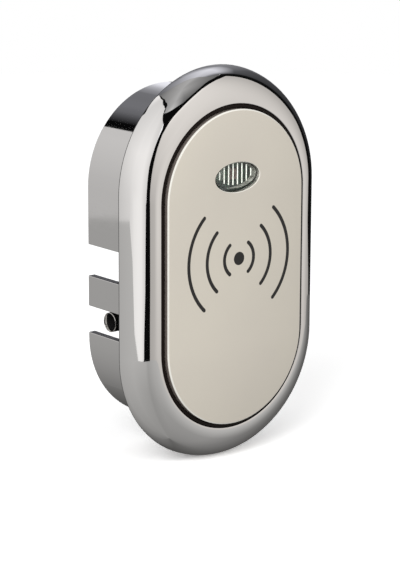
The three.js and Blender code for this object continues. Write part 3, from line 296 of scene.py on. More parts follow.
card("table", 2.6, (1, 0.98, 0.945),
     at_height(-90, table_turns, (0.2, 0.24, 0.27, 0.28, 0.26, 0.24, 0.22, 0.22, 0.19, 0.15, 0.14, 0.18)),
     at_height(-40, table_turns, (0.22, 0.37, 0.4, 0.34, 0.3, 0.33, 0.29, 0.19, 0.13, 0.1, 0.07, 0.2)),
     at_height(-8, table_turns, (0.38, 0.42, 0.47, 0.46, 0.38, 0.46, 0.55, 0.3, 0.12, 0.1, 0.12, 0.38)))


# Lamps: two large soft lamps stand where the soft boxes are. They light the plastic parts, and
# the polished ones mirror the cards instead.
def lamp(name, place, size, power):
    made = bpy.data.objects.new(name, bpy.data.lights.new(name, "AREA"))
    scene.collection.objects.link(made)
    made.data.shape = "DISK"
    made.data.size = size
    made.data.energy = power
    made.location = place
    made.rotation_mode = "QUATERNION"
    made.rotation_quaternion = Vector(place).to_track_quat("Z", "Y")
    made.visible_glossy = False


lamp("left_lamp", (-1.1, -0.6, 0.7), 0.9, 11)
lamp("front_lamp", (0.25, -1.3, 0.6), 0.9, 6)


# Casting: one zinc die casting makes the rounded bezel, the skirt that goes through the door and
# the ledge inside. It is chrome plated, bright on the bezel and satin on the skirt. The faces across
# the notches and a band at the bezel's foot take a dull, dark metal: thin plating, darkened as painted shade.
mm = 0.001
tiny = 1e-7

# From here on x is to the right, y to the rear and z up, and an outline is (width, height).
bezel_outline = (69.3, 116)
crest_outline = (55.0, 97.5)
aperture_outline = (53.0, 95.5)
skirt_outline = (56.2, 100.6)
skirt_inside = (51.6, 96.0)
ledge_hole = (47.1, 89.6)
seat_outline = (59.2, 103.6)
relief_outline = (65.9, 112.6)
bezel_depth = 9.4
relief_depth = 3.2
skirt_depth = 22.9
ledge_front = -5.0
ledge_rear = -1.5
end_steps = 48
bezel_steps = 36
edge_round = 0.25
left_wall_x = -25
notch_start = 2
notch_spans = ((-4.0, 5.3), (-21.0, -13.1))


def points_of(made):
    """The vertices among what an operator made."""
    return [v for v in made if isinstance(v, bmesh.types.BMVert)]


def ring_of(made):
    """The edges between the vertices that an operator made."""
    points = set(points_of(made))
    return [e for e in made if isinstance(e, bmesh.types.BMEdge) and points.issuperset(e.verts)]


def start_outline(bm, width, height, y):
    """The first ring of a piece with straight sides and round ends, seen from the front."""
    ends = []
    for side in (1, -1):
        first = bm.verts.new((side * width / 2 * mm, y * mm, side * (height - width) / 2 * mm))
        arc = bmesh.ops.spin(
            bm, geom=[first], cent=(0, y * mm, side * (height - width) / 2 * mm),
            axis=(0, -1, 0), angle=math.pi, steps=end_steps,
        )
        ends.append((first, arc["geom_last"][0]))
    bm.edges.new((ends[0][1], ends[1][0]))
    bm.edges.new((ends[1][1], ends[0][0]))
    return list(bm.edges)


def next_outline(bm, ring, before, after):
    """Extrudes a ring from one outline of a profile to the next."""
    made = bmesh.ops.extrude_edge_only(bm, edges=ring)["geom"]
    scale = after[0] / before[0]
    for v in points_of(made):
        side = math.copysign(1, v.co.z)
        v.co.x *= scale
        v.co.z = side * (after[1] - after[0]) / 2 * mm + scale * (
            v.co.z - side * (before[1] - before[0]) / 2 * mm)
        v.co.y = after[2] * mm
    return ring_of(made)


def sweep(bm, profile):
    """Rings along a profile, a list of (width, height, y), and its first and last ring."""
    first = start_outline(bm, *profile[0])
    last = first
    for before, after in zip(profile, profile[1:]):
        last = next_outline(bm, last, before, after)
    return first, last


bezel = []
for step in range(bezel_steps + 1):
    turn = step / bezel_steps * math.pi / 2
    bezel.append((
        crest_outline[0] + (bezel_outline[0] - crest_outline[0]) * math.cos(turn),
        crest_outline[1] + (bezel_outline[1] - crest_outline[1]) * math.cos(turn),
        -bezel_depth * math.sin(turn),
    ))
casting = [
    (*skirt_inside, ledge_rear),
    (*skirt_inside, skirt_depth),
    (*skirt_outline, skirt_depth),
    (*skirt_outline, 0),
    (*seat_outline, 0),
    (*seat_outline, -relief_depth),
    (*relief_outline, -relief_depth),
    (*relief_outline, 0),
    *bezel,
    (*aperture_outline, -bezel_depth),
    (*aperture_outline, ledge_front),
    (*ledge_hole, ledge_front),
    (*ledge_hole, ledge_rear),
]
bm = bmesh.new()
first, last = sweep(bm, casting)
bmesh.ops.bridge_loops(bm, edges=last + first)


def left_wall(bm):
    """The part of the skirt that has the two notches, which are open at the rear."""
    geometry = {}
    for f in bm.faces:
        middle = f.calc_center_median() / mm
        if middle.x < left_wall_x and middle.y > 0:
            geometry.update(dict.fromkeys((f, *f.edges, *f.verts)))
    return list(geometry)


def rim_at(bm, axis, place):
    """The open edges in a plane across an axis, which is 0 to 2 for x to z."""
    return [e for e in bm.edges if e.is_boundary and all(abs(v.co[axis] - place) < tiny for v in e.verts)]


# Each notch is cut out of the wall, and then its two sides and its bottom are closed.
for height in [z for span in notch_spans for z in span]:
    bmesh.ops.bisect_plane(bm, geom=left_wall(bm), plane_co=(0, 0, height * mm), plane_no=(0, 0, 1))
bmesh.ops.bisect_plane(bm, geom=left_wall(bm), plane_co=(0, notch_start * mm, 0), plane_no=(0, 1, 0))
for low, high in notch_spans:
    gone = []
    for f in bm.faces:
        middle = f.calc_center_median() / mm
        if middle.x < left_wall_x and middle.y > notch_start and low < middle.z < high:
            gone.append(f)
    bmesh.ops.delete(bm, geom=gone, context="FACES")
    for place in (low, high):
        side = rim_at(bm, 2, place * mm)
        corners = [v for e in side for v in e.verts if abs(v.co.y - notch_start * mm) < tiny]
        side.append(bm.edges.new(corners))
        bmesh.ops.contextual_create(bm, geom=side)
    bottom = rim_at(bm, 1, notch_start * mm)
    bottom = [e for e in bottom if low * mm - tiny < e.verts[0].co.z < high * mm + tiny]
    bmesh.ops.contextual_create(bm, geom=bottom)


def rounded_edges(bm, radius, angle, steps, clamp):
    """Rounds each edge at which the surface turns by more than the angle."""
    sharp = [e for e in bm.edges if e.is_manifold and e.calc_face_angle() > math.radians(angle)]
    bmesh.ops.bevel(bm, geom=sharp, offset=radius * mm, offset_type="OFFSET", segments=steps, profile=0.5,
                    affect="EDGES", clamp_overlap=clamp, material=-1)


def smoothed(bm):
    """Faces turned outwards and shaded smooth."""
    bmesh.ops.recalc_face_normals(bm, faces=bm.faces)
    for f in bm.faces:
        f.smooth = True


bmesh.ops.recalc_face_normals(bm, faces=bm.faces)
rounded_edges(bm, edge_round, angle=35, steps=3, clamp=True)


def turned(bm, profile, place, axis=(0, 1, 0), steps=40):
    """A shape turned about an axis: the profile is (radius, place along the axis)."""
    axis = Vector(axis)
    outwards = axis.orthogonal().normalized()
    points = []
    for radius, along in profile:
        points.append(bm.verts.new((Vector(place) + outwards * radius + axis * along) * mm))
    lines = [bm.edges.new(pair) for pair in zip(points, points[1:])]
    before = set(bm.verts) - set(points)
    bmesh.ops.spin(bm, geom=points + lines, cent=Vector(place) * mm, axis=axis, angle=2 * math.pi,
                   steps=steps, use_merge=True)
    made = [v for v in bm.verts if v not in before]
    bmesh.ops.remove_doubles(bm, verts=made, dist=tiny)


# The upper two bosses take the inner moulding's screws and the lower two the rear cover's. The
# ledge's two lugs take the screws of the front plate.
boss_radius = 3
boss_bore = 1.0
boss_bore_depth = 8.4
boss_bore_tip = 9
boss_edge = 0.3
boss_root = 0.5
boss_rear = {1: 17.3, -1: 20.8}
boss_x = 14.94
boss_z = 40.02
lug_radius = 3.2
lug_bore = 0.85
lug_edge = 0.2
lug_inset = 0.02
lug_z = 43.0
for x in (-boss_x, boss_x):
    for side, rear in boss_rear.items():
        turned(bm, [
            (0, rear - boss_bore_tip), (boss_bore, rear - boss_bore_depth), (boss_bore, rear - boss_edge),
            (boss_bore + boss_edge, rear), (boss_radius - boss_edge, rear), (boss_radius, rear - boss_edge),
            (boss_radius, ledge_rear - boss_root), (0, ledge_rear - boss_root),
        ], (x, 0, side * boss_z))
for side in (1, -1):
    turned(bm, [
        (lug_bore, ledge_front + lug_inset), (lug_radius - lug_edge, ledge_front + lug_inset),
        (lug_radius, ledge_front + lug_edge), (lug_radius, ledge_rear - lug_edge),
        (lug_radius - lug_edge, ledge_rear - lug_inset), (lug_bore, ledge_rear - lug_inset),
        (lug_bore, ledge_front + lug_inset),
    ], (0, 0, side * lug_z))
smoothed(bm)


def surface(name, colour, roughness, metallic=0.0):
    """A material whose shader has this colour."""
    made = material(name)
    shader = node(made, "ShaderNodeBsdfPrincipled")
    shader.inputs["Base Color"].default_value = (*colour, 1)
    shader.inputs["Roughness"].default_value = roughness
    shader.inputs["Metallic"].default_value = metallic
    end = node(made, "ShaderNodeOutputMaterial")
    join(made, shader, "BSDF", end, "Surface")
    return made


def shader_of(owner):
    return owner.node_tree.nodes["Principled BSDF"]


def noise(owner, scale, detail=3, stretch=(1, 1, 1)):
    """Noise of that many lumps to the metre, on the piece's own place."""
    place = node(owner, "ShaderNodeTexCoord")
    size = node(owner, "ShaderNodeMapping")
    size.inputs["Scale"].default_value = stretch
    made = node(owner, "ShaderNodeTexNoise")
    made.inputs["Scale"].default_value = scale
    made.inputs["Detail"].default_value = detail
    join(owner, place, "Object", size, "Vector")
    join(owner, size, "Vector", made, "Vector")
    return made


def dented(owner, pattern, depth):
    """Bumps of that many metres from a pattern."""
    bump = node(owner, "ShaderNodeBump")
    bump.inputs["Distance"].default_value = depth
    join(owner, pattern, 0, bump, "Height")
    join(owner, bump, "Normal", shader_of(owner), "Normal")


def between(owner, entry, pattern, low, high, depth=0, start=0.3, end=0.7):
    """A socket that varies between two values or colours with a pattern, which may dent the surface."""
    ramp = node(owner, "ShaderNodeMapRange" if isinstance(low, float) else "ShaderNodeValToRGB")
    if isinstance(low, float):
        for socket, value in (("From Min", start), ("From Max", end), ("To Min", low), ("To Max", high)):
            ramp.inputs[socket].default_value = value
        join(owner, pattern, 0, ramp, "Value")
    else:
        for stop, place, colour in zip(ramp.color_ramp.elements, (start, end), (low, high)):
            stop.position = place
            stop.color = (*colour, 1)
        join(owner, pattern, 0, ramp, "Fac")
    join(owner, ramp, 0, shader_of(owner), entry)
    if depth:
        dented(owner, pattern, depth)


def creased(made, angle):
    """Smooth, apart from the edges at which the surface turns by more than the angle."""
    made.data.set_sharp_from_angle(angle=math.radians(angle))


def rounded_look(made):
    """Smooth over its rounded edges and flat between them."""
    creased(made, 40)
    shading = made.modifiers.new("flat_faces", "WEIGHTED_NORMAL")
    shading.mode = "FACE_AREA"
    shading.keep_sharp = True


chrome = surface("chrome_plate", (0.95, 0.95, 0.96), 0.03, metallic=1.0)
dented(chrome, noise(chrome, 60, 1), 0.000002)
satin = surface("satin_chrome_plate", (0.78, 0.78, 0.79), 0.07, metallic=1.0)
between(satin, "Roughness", noise(satin, 900, 3, (1, 0.25, 1)), 0.035, 0.06)
dented(satin, noise(satin, 110, 1), 0.0000015)
# Painted shade: this dark dull metal stands for the shade across the notches and along the bezel's foot.
dull_shade = surface("thin_plating_painted_shade", (0.13, 0.13, 0.135), 0.42, metallic=1.0)
between(dull_shade, "Roughness", noise(dull_shade, 1600), 0.35, 0.5, depth=0.000012)
skirt_start = 0.1
foot_start = -0.42
foot_reach = 33.55
notch_slope = 0.9
# The faces across the notches and a band at the bezel's foot are given the painted shade.
for f in bm.faces:
    middle = f.calc_center_median() / mm
    beyond = abs(middle.z) - (bezel_outline[1] - bezel_outline[0]) / 2
    reach = Vector((middle.x, max(beyond, 0))).length
    notch = middle.x < left_wall_x and middle.y > notch_start and abs(f.normal.z) > notch_slope
    foot = foot_start < middle.y < skirt_start and reach > foot_reach
    f.material_index = 2 if notch or foot else int(middle.y > skirt_start)
casting_piece = finished("casting", bm, chrome, satin, dull_shade)
rounded_look(casting_piece)
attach(casting_piece, "housing_body")
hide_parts("housing")


# Rubber seal: a ring moulded in black rubber, pressed into the gap between the front plate and
# the casting. Its lip is softly rounded, and its foot lies behind the plate's wall.
seal_lip = -9.4
seal_foot = -5.9
seal_rear = -5.3
seal_outside = (52.8, 95.3)
seal_inside = (50.5, 93.0)
seal_foot_inside = (47.9, 90.4)
seal_round = 0.5
seal_round_steps = 6
seal_bevel = 0.5
seal_bevel_depth = 0.3
profile = [(*seal_foot_inside, seal_rear), (*seal_outside, seal_rear), (*seal_outside, seal_lip + seal_round)]
for step in range(1, seal_round_steps + 1):
    turn = math.pi / 2 * step / seal_round_steps
    profile.append((
        seal_outside[0] - 2 * seal_round * (1 - math.cos(turn)),
        seal_outside[1] - 2 * seal_round * (1 - math.cos(turn)),
        seal_lip + seal_round * (1 - math.sin(turn)),
    ))
profile += [
    (seal_inside[0] + seal_bevel, seal_inside[1] + seal_bevel, seal_lip),
    (*seal_inside, seal_lip + seal_bevel_depth),
    (*seal_inside, seal_foot),
    (*seal_foot_inside, seal_foot),
]
bm = bmesh.new()
first, last = sweep(bm, profile)
bmesh.ops.bridge_loops(bm, edges=last + first)
smoothed(bm)
rubber = surface("seal_rubber", (0.007, 0.004, 0.003), 0.55)
shader_of(rubber).inputs["Specular IOR Level"].default_value = 0.2
between(rubber, "Roughness", noise(rubber, 2500), 0.48, 0.7, depth=0.00001)
seal = finished("seal_ring", bm, rubber)
creased(seal, 40)
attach(seal, "housing_body")
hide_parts("faceplate_gasket")


# Front plate: an ivory moulding with a fine chamfer round its flat face, a wall behind it, and an
# oval window with a collar. Four posts behind it carry the board.
plate_outline = (50.3, 92.8)
plate_chamfer = 0.36
plate_blend = 0.08
plate_blend_rise = 0.03
plate_front = -10.7
plate_back = -8.9
plate_edge_end = -9.1
plate_wall = 1.5
plate_wall_end = -6.2
plate_wall_edge = 0.1
window_middle = (0.27, 26.8)
window_size = (16.6, 8.7)
window_lead = (16.9, 9.0)
window_lead_depth = 0.15
collar_size = (19.2, 11.3)
collar_rear = -7.4
post_x = 17.5
post_z = (19, -21)
post_radius = 2.2
post_bore = 0.8
post_bore_end = -7.4
post_bore_tip = -7.6
post_end = -5.42
post_shoulder = -5.6
post_edge = 0.2
post_root = 0.3


def smaller(outline, inset):
    return outline[0] - 2 * inset, outline[1] - 2 * inset


def oval(bm, middle, size, y, steps=96):
    """An oval ring of edges, seen from the front."""
    made = bmesh.ops.create_circle(bm, segments=steps, radius=0.5)["verts"]
    for v in made:
        v.co = Vector((middle[0] + v.co.x * size[0], y, middle[1] + v.co.y * size[1])) * mm
    return list(dict.fromkeys(e for v in made for e in v.link_edges))


def sweep_oval(bm, ring, middle, profile):
    """Extrudes an oval ring along a profile that starts with its own (width, height, y)."""
    for before, after in zip(profile, profile[1:]):
        made = bmesh.ops.extrude_edge_only(bm, edges=ring)["geom"]
        for v in points_of(made):
            v.co.x = middle[0] * mm + (v.co.x - middle[0] * mm) * after[0] / before[0]
            v.co.z = middle[1] * mm + (v.co.z - middle[1] * mm) * after[1] / before[1]
            v.co.y = after[2] * mm
        ring = ring_of(made)
    return ring


bm = bmesh.new()
rim, ring = sweep(bm, [
    (*smaller(plate_outline, plate_chamfer + plate_blend), plate_front),
    (*smaller(plate_outline, plate_chamfer), plate_front + plate_blend_rise),
    (*smaller(plate_outline, plate_blend_rise), plate_front + plate_chamfer - plate_blend_rise),
    (*plate_outline, plate_front + plate_chamfer + plate_blend),
    (*plate_outline, plate_edge_end),
    (*plate_outline, plate_wall_end - plate_wall_edge),
    (*smaller(plate_outline, plate_wall_edge), plate_wall_end),
    (*smaller(plate_outline, plate_wall - plate_wall_edge), plate_wall_end),
    (*smaller(plate_outline, plate_wall), plate_wall_end - plate_wall_edge),
    (*smaller(plate_outline, plate_wall), plate_back),
])
window_rim = oval(bm, window_middle, window_lead, plate_front)
bmesh.ops.triangle_fill(bm, edges=rim + window_rim, use_beauty=True)
hole = sweep_oval(bm, window_rim, window_middle, [
    (*window_lead, plate_front),
    (*window_size, plate_front + window_lead_depth),
    (*window_size, collar_rear),
    (*collar_size, collar_rear),
    (*collar_size, plate_back),
])
bmesh.ops.triangle_fill(bm, edges=ring + hole, use_beauty=True)
for x in (-post_x, post_x):
    for z in post_z:
        turned(bm, [
            (0, post_bore_tip), (post_bore, post_bore_end), (post_bore, post_shoulder),
            (post_bore + post_edge, post_end), (post_radius - post_edge, post_end),
            (post_radius, post_shoulder), (post_radius, plate_back - post_root),
            (0, plate_back - post_root),
        ], (x, 0, z), steps=24)
smoothed(bm)
rim_reach = 20
rim_rear = -9
window_reach = 10
window_rear = -10.4
side_facing = 0.2
front_facing = 0.9
# The chamfers round the plate and the window get a glossy coat whose pale colour is a painted highlight, and
# the plate's side wall gets a dark brown that is painted shade.
for f in bm.faces:
    middle = f.calc_center_median() / mm
    facing = abs(f.normal.y)
    on_rim = middle.xz.length > rim_reach and middle.y < rim_rear
    by_window = (middle.xz - Vector(window_middle)).length < window_reach and middle.y < window_rear
    if (on_rim or by_window) and side_facing < facing < front_facing:
        f.material_index = 1
    elif on_rim and facing < side_facing:
        f.material_index = 2
ivory = surface("ivory_plastic", (0.64, 0.6, 0.52), 0.32)
between(ivory, "Base Color", noise(ivory, 35, 2), (0.63, 0.585, 0.51), (0.655, 0.61, 0.525))
dented(ivory, noise(ivory, 3200), 0.000006)
# Painted highlight: the chamfer is glossy, and its colour is paler than the ivory so that it stands for the
# light it catches.
chamfer = surface("pale_chamfer_painted_highlight", (0.95, 0.93, 0.86), 0.1, metallic=0.15)
between(chamfer, "Roughness", noise(chamfer, 1500), 0.07, 0.14)
edge = surface("shaded_edge", (0.17, 0.145, 0.13), 0.45)
between(edge, "Base Color", noise(edge, 1800), (0.15, 0.125, 0.11), (0.2, 0.17, 0.155))
front_plate = finished("front_plate", bm, ivory, chamfer, edge)
creased(front_plate, 25)
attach(front_plate, "housing_body")
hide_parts("faceplate")


# Printed sign on the plate: a dot with three waves to each side, screen printed in black ink,
# which stands a few hundredths of a millimetre proud of the plastic.
ink_thickness = 0.03
ink_sunk = 0.005
sign_middle = (0.95, 2.9)
dot_radius = 1.95
wave_stroke = 1.1
wave_steps = 40
waves = ((5.5, 51), (11.95, 46), (18.7, 46))


def round_end(bm, ends, sense):
    """Closes an end of a wave with a half disc."""
    middle = (ends[0].co + ends[1].co) / 2
    far = max(ends, key=lambda v: v.co.length)
    tip = bm.verts.new(far.co)
    bmesh.ops.spin(bm, geom=[tip], cent=middle, axis=(0, 0, sense), angle=math.pi, steps=12)
    reach = wave_stroke / 2 * mm + tiny
    cap = [v for v in bm.verts if (v.co - middle).length < reach and not v.link_faces]
    cap.sort(key=lambda v: (v.co - middle).angle(far.co - middle))
    bm.faces.new(cap)


bm = bmesh.new()
bmesh.ops.create_circle(bm, cap_ends=True, segments=48, radius=dot_radius * mm)
for side in (0, 180):
    for radius, half_turn in waves:
        inner = bm.verts.new(((radius - wave_stroke / 2) * mm, 0, 0))
        outer = bm.verts.new(((radius + wave_stroke / 2) * mm, 0, 0))
        line = bm.edges.new((inner, outer))
        bmesh.ops.rotate(bm, verts=[inner, outer], cent=(0, 0, 0),
                         matrix=Matrix.Rotation(math.radians(side - half_turn), 3, "Z"))
        wave = bmesh.ops.spin(bm, geom=[inner, outer, line], cent=(0, 0, 0), axis=(0, 0, 1),
                              angle=math.radians(2 * half_turn), steps=wave_steps)
        far_end = points_of(wave["geom_last"])
        round_end(bm, (inner, outer), -1)
        round_end(bm, far_end, 1)
bmesh.ops.remove_doubles(bm, verts=bm.verts, dist=tiny)
bmesh.ops.recalc_face_normals(bm, faces=bm.faces)
lift = bmesh.ops.extrude_face_region(bm, geom=bm.faces)["geom"]
bmesh.ops.translate(bm, verts=points_of(lift), vec=(0, 0, ink_thickness * mm))
bmesh.ops.rotate(bm, verts=bm.verts, cent=(0, 0, 0), matrix=Matrix.Rotation(math.radians(90), 3, "X"))
bmesh.ops.translate(bm, verts=bm.verts, vec=(
    sign_middle[0] * mm,
    (plate_front + ink_sunk) * mm,
    sign_middle[1] * mm,
))
bmesh.ops.recalc_face_normals(bm, faces=bm.faces)
ink = surface("black_ink", (0.012, 0.012, 0.012), 0.35)
between(ink, "Roughness", noise(ink, 2600), 0.28, 0.45, depth=0.000004)
sign = finished("printed_sign", bm, ink)
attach(sign, "housing_body")


# Window: a clear oval moulding pushed in from behind until its flange meets the collar. Its front
# edge is rounded, and it is hollow at the back, with frosted side walls.
lens_front = -10.6
lens_floor = -9.0
lens_seat = -7.3
lens_rear = -6.5
lens_plug = (16.4, 8.5)
lens_face = (15.8, 7.9)
lens_shoulder = (16.24, 8.34)
lens_shoulder_depth = 0.05
lens_edge_depth = 0.25
lens_flange = (18.6, 10.7)
lens_hollow = (15.0, 7.1)
lens_hollow_rise = 0.3
bm = bmesh.new()
face_rim = oval(bm, window_middle, lens_face, lens_front)
ring = sweep_oval(bm, face_rim, window_middle, [
    (*lens_face, lens_front),
    (*lens_shoulder, lens_front + lens_shoulder_depth),
    (*lens_plug, lens_front + lens_edge_depth),
    (*lens_plug, lens_seat),
    (*lens_flange, lens_seat),
    (*lens_flange, lens_rear),
    (*lens_hollow, lens_rear),
])
hollow_rim = list({v for e in ring for v in e.verts})
bmesh.ops.translate(bm, verts=hollow_rim, vec=(0, 0, lens_hollow_rise * mm))
ring = sweep_oval(bm, ring, window_middle, [(*lens_hollow, lens_rear), (*lens_hollow, lens_floor)])
bmesh.ops.contextual_create(bm, geom=ring)
bmesh.ops.contextual_create(bm, geom=face_rim)
smoothed(bm)
frosted_front = lens_front + 0.5
frosted_area = 0.5
for f in bm.faces:
    on_side = abs(f.normal.y) < side_facing and f.calc_center_median().y > frosted_front * mm
    f.material_index = int(on_side and f.calc_area() > frosted_area * mm ** 2)
clear = surface("clear_lens", (0.97, 1, 0.98), 0.02)
shader_of(clear).inputs["Specular IOR Level"].default_value = 0.25
shader_of(clear).inputs["Transmission Weight"].default_value = 1
shader_of(clear).inputs["IOR"].default_value = 1.49
dented(clear, noise(clear, 900), 0.000003)
clear_gap = node(clear, "ShaderNodeBsdfTransparent")
clear_path = node(clear, "ShaderNodeLightPath")
clear_mix = node(clear, "ShaderNodeMixShader")
join(clear, clear_path, "Is Shadow Ray", clear_mix, 0)
join(clear, shader_of(clear), "BSDF", clear_mix, 1)
join(clear, clear_gap, "BSDF", clear_mix, 2)
join(clear, clear_mix, 0, clear.node_tree.nodes["Material Output"], "Surface")
frosted = surface("frosted_wall", (0.4, 0.4, 0.36), 0.4)
frosted_streaks = noise(frosted, 900, 3, (1, 0.15, 1))
between(frosted, "Base Color", frosted_streaks, (0.22, 0.22, 0.19), (0.55, 0.54, 0.49))
lens = finished("window_lens", bm, clear, frosted)
creased(lens, 40)
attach(lens, "housing_body")
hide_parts("indicator_lens")


# Window flutes: upright ribs moulded on the floor of the window's hollow. They are frosted, and
# spread the light of the two lamps. Though the lamps are off, the ribs glow faintly as painted light.
flute_pitch = 1.64
flute_radius = 0.17
flute_count = 8
flute_zone = (6.15, 3.05)
flute_rise = 0.75
flute_gap = 0.02
flute_end = 0.1
flute_end_share = 0.8
bm = bmesh.new()
for flute in range(flute_count):
    across = (flute - (flute_count - 1) / 2) * flute_pitch
    reach = flute_zone[1] * math.sqrt(1 - (across / flute_zone[0]) ** 2)
    end_radius = flute_radius * flute_end_share
    place = (window_middle[0] + across, lens_floor + flute_radius + flute_gap, window_middle[1] + flute_rise)
    turned(bm, [
        (0, -reach), (end_radius, -reach), (flute_radius, flute_end - reach),
        (flute_radius, reach - flute_end), (end_radius, reach), (0, reach),
    ], place, axis=(0, 0, 1), steps=16)
smoothed(bm)
frost = surface("frosted_flutes_painted_glow", (0.9, 0.9, 0.84), 0.25)
# Painted light: a faint glow on the ribs, which are no lamp.
shader_of(frost).inputs["Emission Color"].default_value = (0.95, 0.95, 0.86, 1)
shader_of(frost).inputs["Emission Strength"].default_value = 0.3
between(frost, "Base Color", noise(frost, 700), (0.72, 0.72, 0.66), (0.92, 0.92, 0.87))
flutes = finished("window_flutes", bm, frost)
creased(flutes, 40)
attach(flutes, "housing_body")


# Aerial: the card reader's flat coil, wound in enamelled copper wire and glued to the front of
# the board.
def softened(name, radius, coat):
    """A copy of a CAD node's solid with its edges rounded, which stands for the node."""
    bm = bmesh.new()
    bm.from_mesh(nodes[name].data)
    bmesh.ops.remove_doubles(bm, verts=bm.verts, dist=tiny)
    bmesh.ops.dissolve_limit(bm, verts=bm.verts, edges=bm.edges, angle_limit=math.radians(1),
                             use_dissolve_boundaries=False)
    rounded_edges(bm, radius, angle=40, steps=2, clamp=False)
    for f in bm.faces:
        f.smooth = True
    made = finished("detailed_" + name, bm, coat)
    rounded_look(made)
    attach(made, nodes[name]["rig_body"])
    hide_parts(name)


copper = surface("enamelled_copper", (0.55, 0.2, 0.08), 0.3, metallic=1.0)
between(copper, "Base Color", noise(copper, 1800, 2, (1, 1, 0.2)), (0.36, 0.12, 0.05), (0.66, 0.28, 0.12),
        depth=0.00003)
softened("antenna_coil", 0.12, copper)


# Circuit board: a laminate under green lacquer, through which the tracks show. It carries the
# lock's electronics.
laminate = surface("board_laminate", (0.008, 0.04, 0.016), 0.35)
laminate_place = node(laminate, "ShaderNodeTexCoord")
tracks = node(laminate, "ShaderNodeTexVoronoi", feature="DISTANCE_TO_EDGE", distance="CHEBYCHEV")
tracks.inputs["Scale"].default_value = 260
join(laminate, laminate_place, "Object", tracks, "Vector")
between(laminate, "Base Color", tracks, (0.008, 0.036, 0.014), (0.003, 0.018, 0.008),
        depth=0.00003, start=0.06, end=0.1)
softened("circuit_board", 0.2, laminate)


# Indicator lamps: a green and a red one, cast in tinted epoxy and soldered to the board behind
# the window. They are off.
for name, lamp_colour in (("green", (0.08, 0.11, 0.085)), ("red", (0.13, 0.085, 0.075))):
    lamp_coat = surface("lamp_" + name, lamp_colour, 0.15)
    shader_of(lamp_coat).inputs["Subsurface Weight"].default_value = 0.3
    shader_of(lamp_coat).inputs["Subsurface Radius"].default_value = (0.001, 0.001, 0.001)
    lamp_dark = tuple(c * 0.8 for c in lamp_colour)
    between(lamp_coat, "Base Color", noise(lamp_coat, 1200, 2), lamp_colour, lamp_dark)
    softened("led_" + name, 0.06, lamp_coat)


# Chips and sounder: two chips and the sounder, moulded in black epoxy and soldered to the board.
# The crystal that times them has a nickel-plated steel can.
epoxy = surface("epoxy_black", (0.012, 0.012, 0.013), 0.5)
between(epoxy, "Roughness", noise(epoxy, 3500), 0.4, 0.62, depth=0.00002)
for name in ("reader_chip", "controller_chip", "buzzer"):
    softened(name, 0.12, epoxy)
nickel = surface("nickel_plate", (0.66, 0.63, 0.58), 0.22, metallic=1.0)
between(nickel, "Roughness", noise(nickel, 1400, 3, (1, 0.2, 1)), 0.16, 0.32, depth=0.000006)
softened("quartz_crystal", 0.12, nickel)


# Plug connectors: housings of white nylon, soldered to the board, for the leads of the motor and
# of the battery.
nylon = surface("white_nylon", (0.72, 0.69, 0.6), 0.45)
between(nylon, "Base Color", noise(nylon, 500), (0.66, 0.63, 0.54), (0.76, 0.73, 0.65), depth=0.00002)
for name in ("battery_connector", "motor_connector"):
    softened(name, 0.12, nylon)


# Screws of the board and the plate: self-tapping screws of zinc-plated steel with a cross recess.
# Four hold the board to the plate's posts, and two the plate to the casting's ledge.
ridge_pitch = 0.55
ridge_run = 0.2
core_share = 0.82
neck_share = 0.9
tip_share = 0.5
unridged = 0.5
head_edge = 0.1
head_rounding = ((0, 0.25), (0.08, 0.09), (0.3, 0))
cross_arm = 0.2
cross_reach = 0.85
cross_taper = 0.55
cross_depth = 0.45
steel = surface("zinc_steel", (0.56, 0.57, 0.58), 0.3, metallic=1.0)
between(steel, "Roughness", noise(steel, 2200, 4), 0.22, 0.42, depth=0.000008)


def screw(name, seat, head_height, head, shank, length, cross=1.0):
    """A screw that stands where its CAD node is, with its head to the rear."""
    low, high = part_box(name)
    x = (low.x + high.x) / 2 / mm
    z = (low.z + high.z) / 2 / mm
    head_rear = seat + head_height
    profile = [(0, seat - length), (shank * tip_share, seat - length)]
    core = shank * core_share
    along = seat - length + unridged
    while along < seat - unridged:
        profile += [(core, along), (shank, along + ridge_run), (core, along + 2 * ridge_run)]
        along += ridge_pitch
    profile += [(shank * neck_share, seat), (head - head_edge, seat), (head, seat + head_edge)]
    profile += [(head - inset, head_rear - below) for inset, below in head_rounding]
    bm = bmesh.new()
    turned(bm, profile, (x, 0, z), steps=32)
    rim = [e for e in bm.edges if e.is_boundary]
    arm = cross_arm * cross
    reach = cross_reach * cross
    corners = []
    for quarter in range(4):
        for across, along in ((-arm, reach), (arm, reach), (arm, arm)):
            turn = math.pi / 2 * quarter
            corners.append(bm.verts.new((
                (x + across * math.cos(turn) + along * math.sin(turn)) * mm,
                head_rear * mm,
                (z - across * math.sin(turn) + along * math.cos(turn)) * mm,
            )))
    lines = [bm.edges.new(pair) for pair in zip(corners, corners[1:] + corners[:1])]
    bmesh.ops.triangle_fill(bm, edges=rim + lines, use_beauty=True)
    deep = bmesh.ops.extrude_edge_only(bm, edges=lines)["geom"]
    bmesh.ops.scale(bm, verts=points_of(deep), vec=(cross_taper, 1, cross_taper),
                    space=Matrix.Translation((-x * mm, 0, -z * mm)))
    bmesh.ops.translate(bm, verts=points_of(deep), vec=(0, -cross_depth * mm * min(1, head_height), 0))
    bmesh.ops.contextual_create(bm, geom=ring_of(deep))
    smoothed(bm)
    made = finished(name + "_turned", bm, steel)
    creased(made, 35)
    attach(made, "housing_body")
    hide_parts(name)


small_screw = {"head_height": 1.2, "head": 1.6, "shank": 0.75}
for place in range(1, 5):
    screw(f"board_screw_{place}", -3.4, length=4.8, **small_screw)
for end in ("top", "bottom"):
    screw(f"faceplate_screw_{end}", -1.4, length=6, **small_screw)


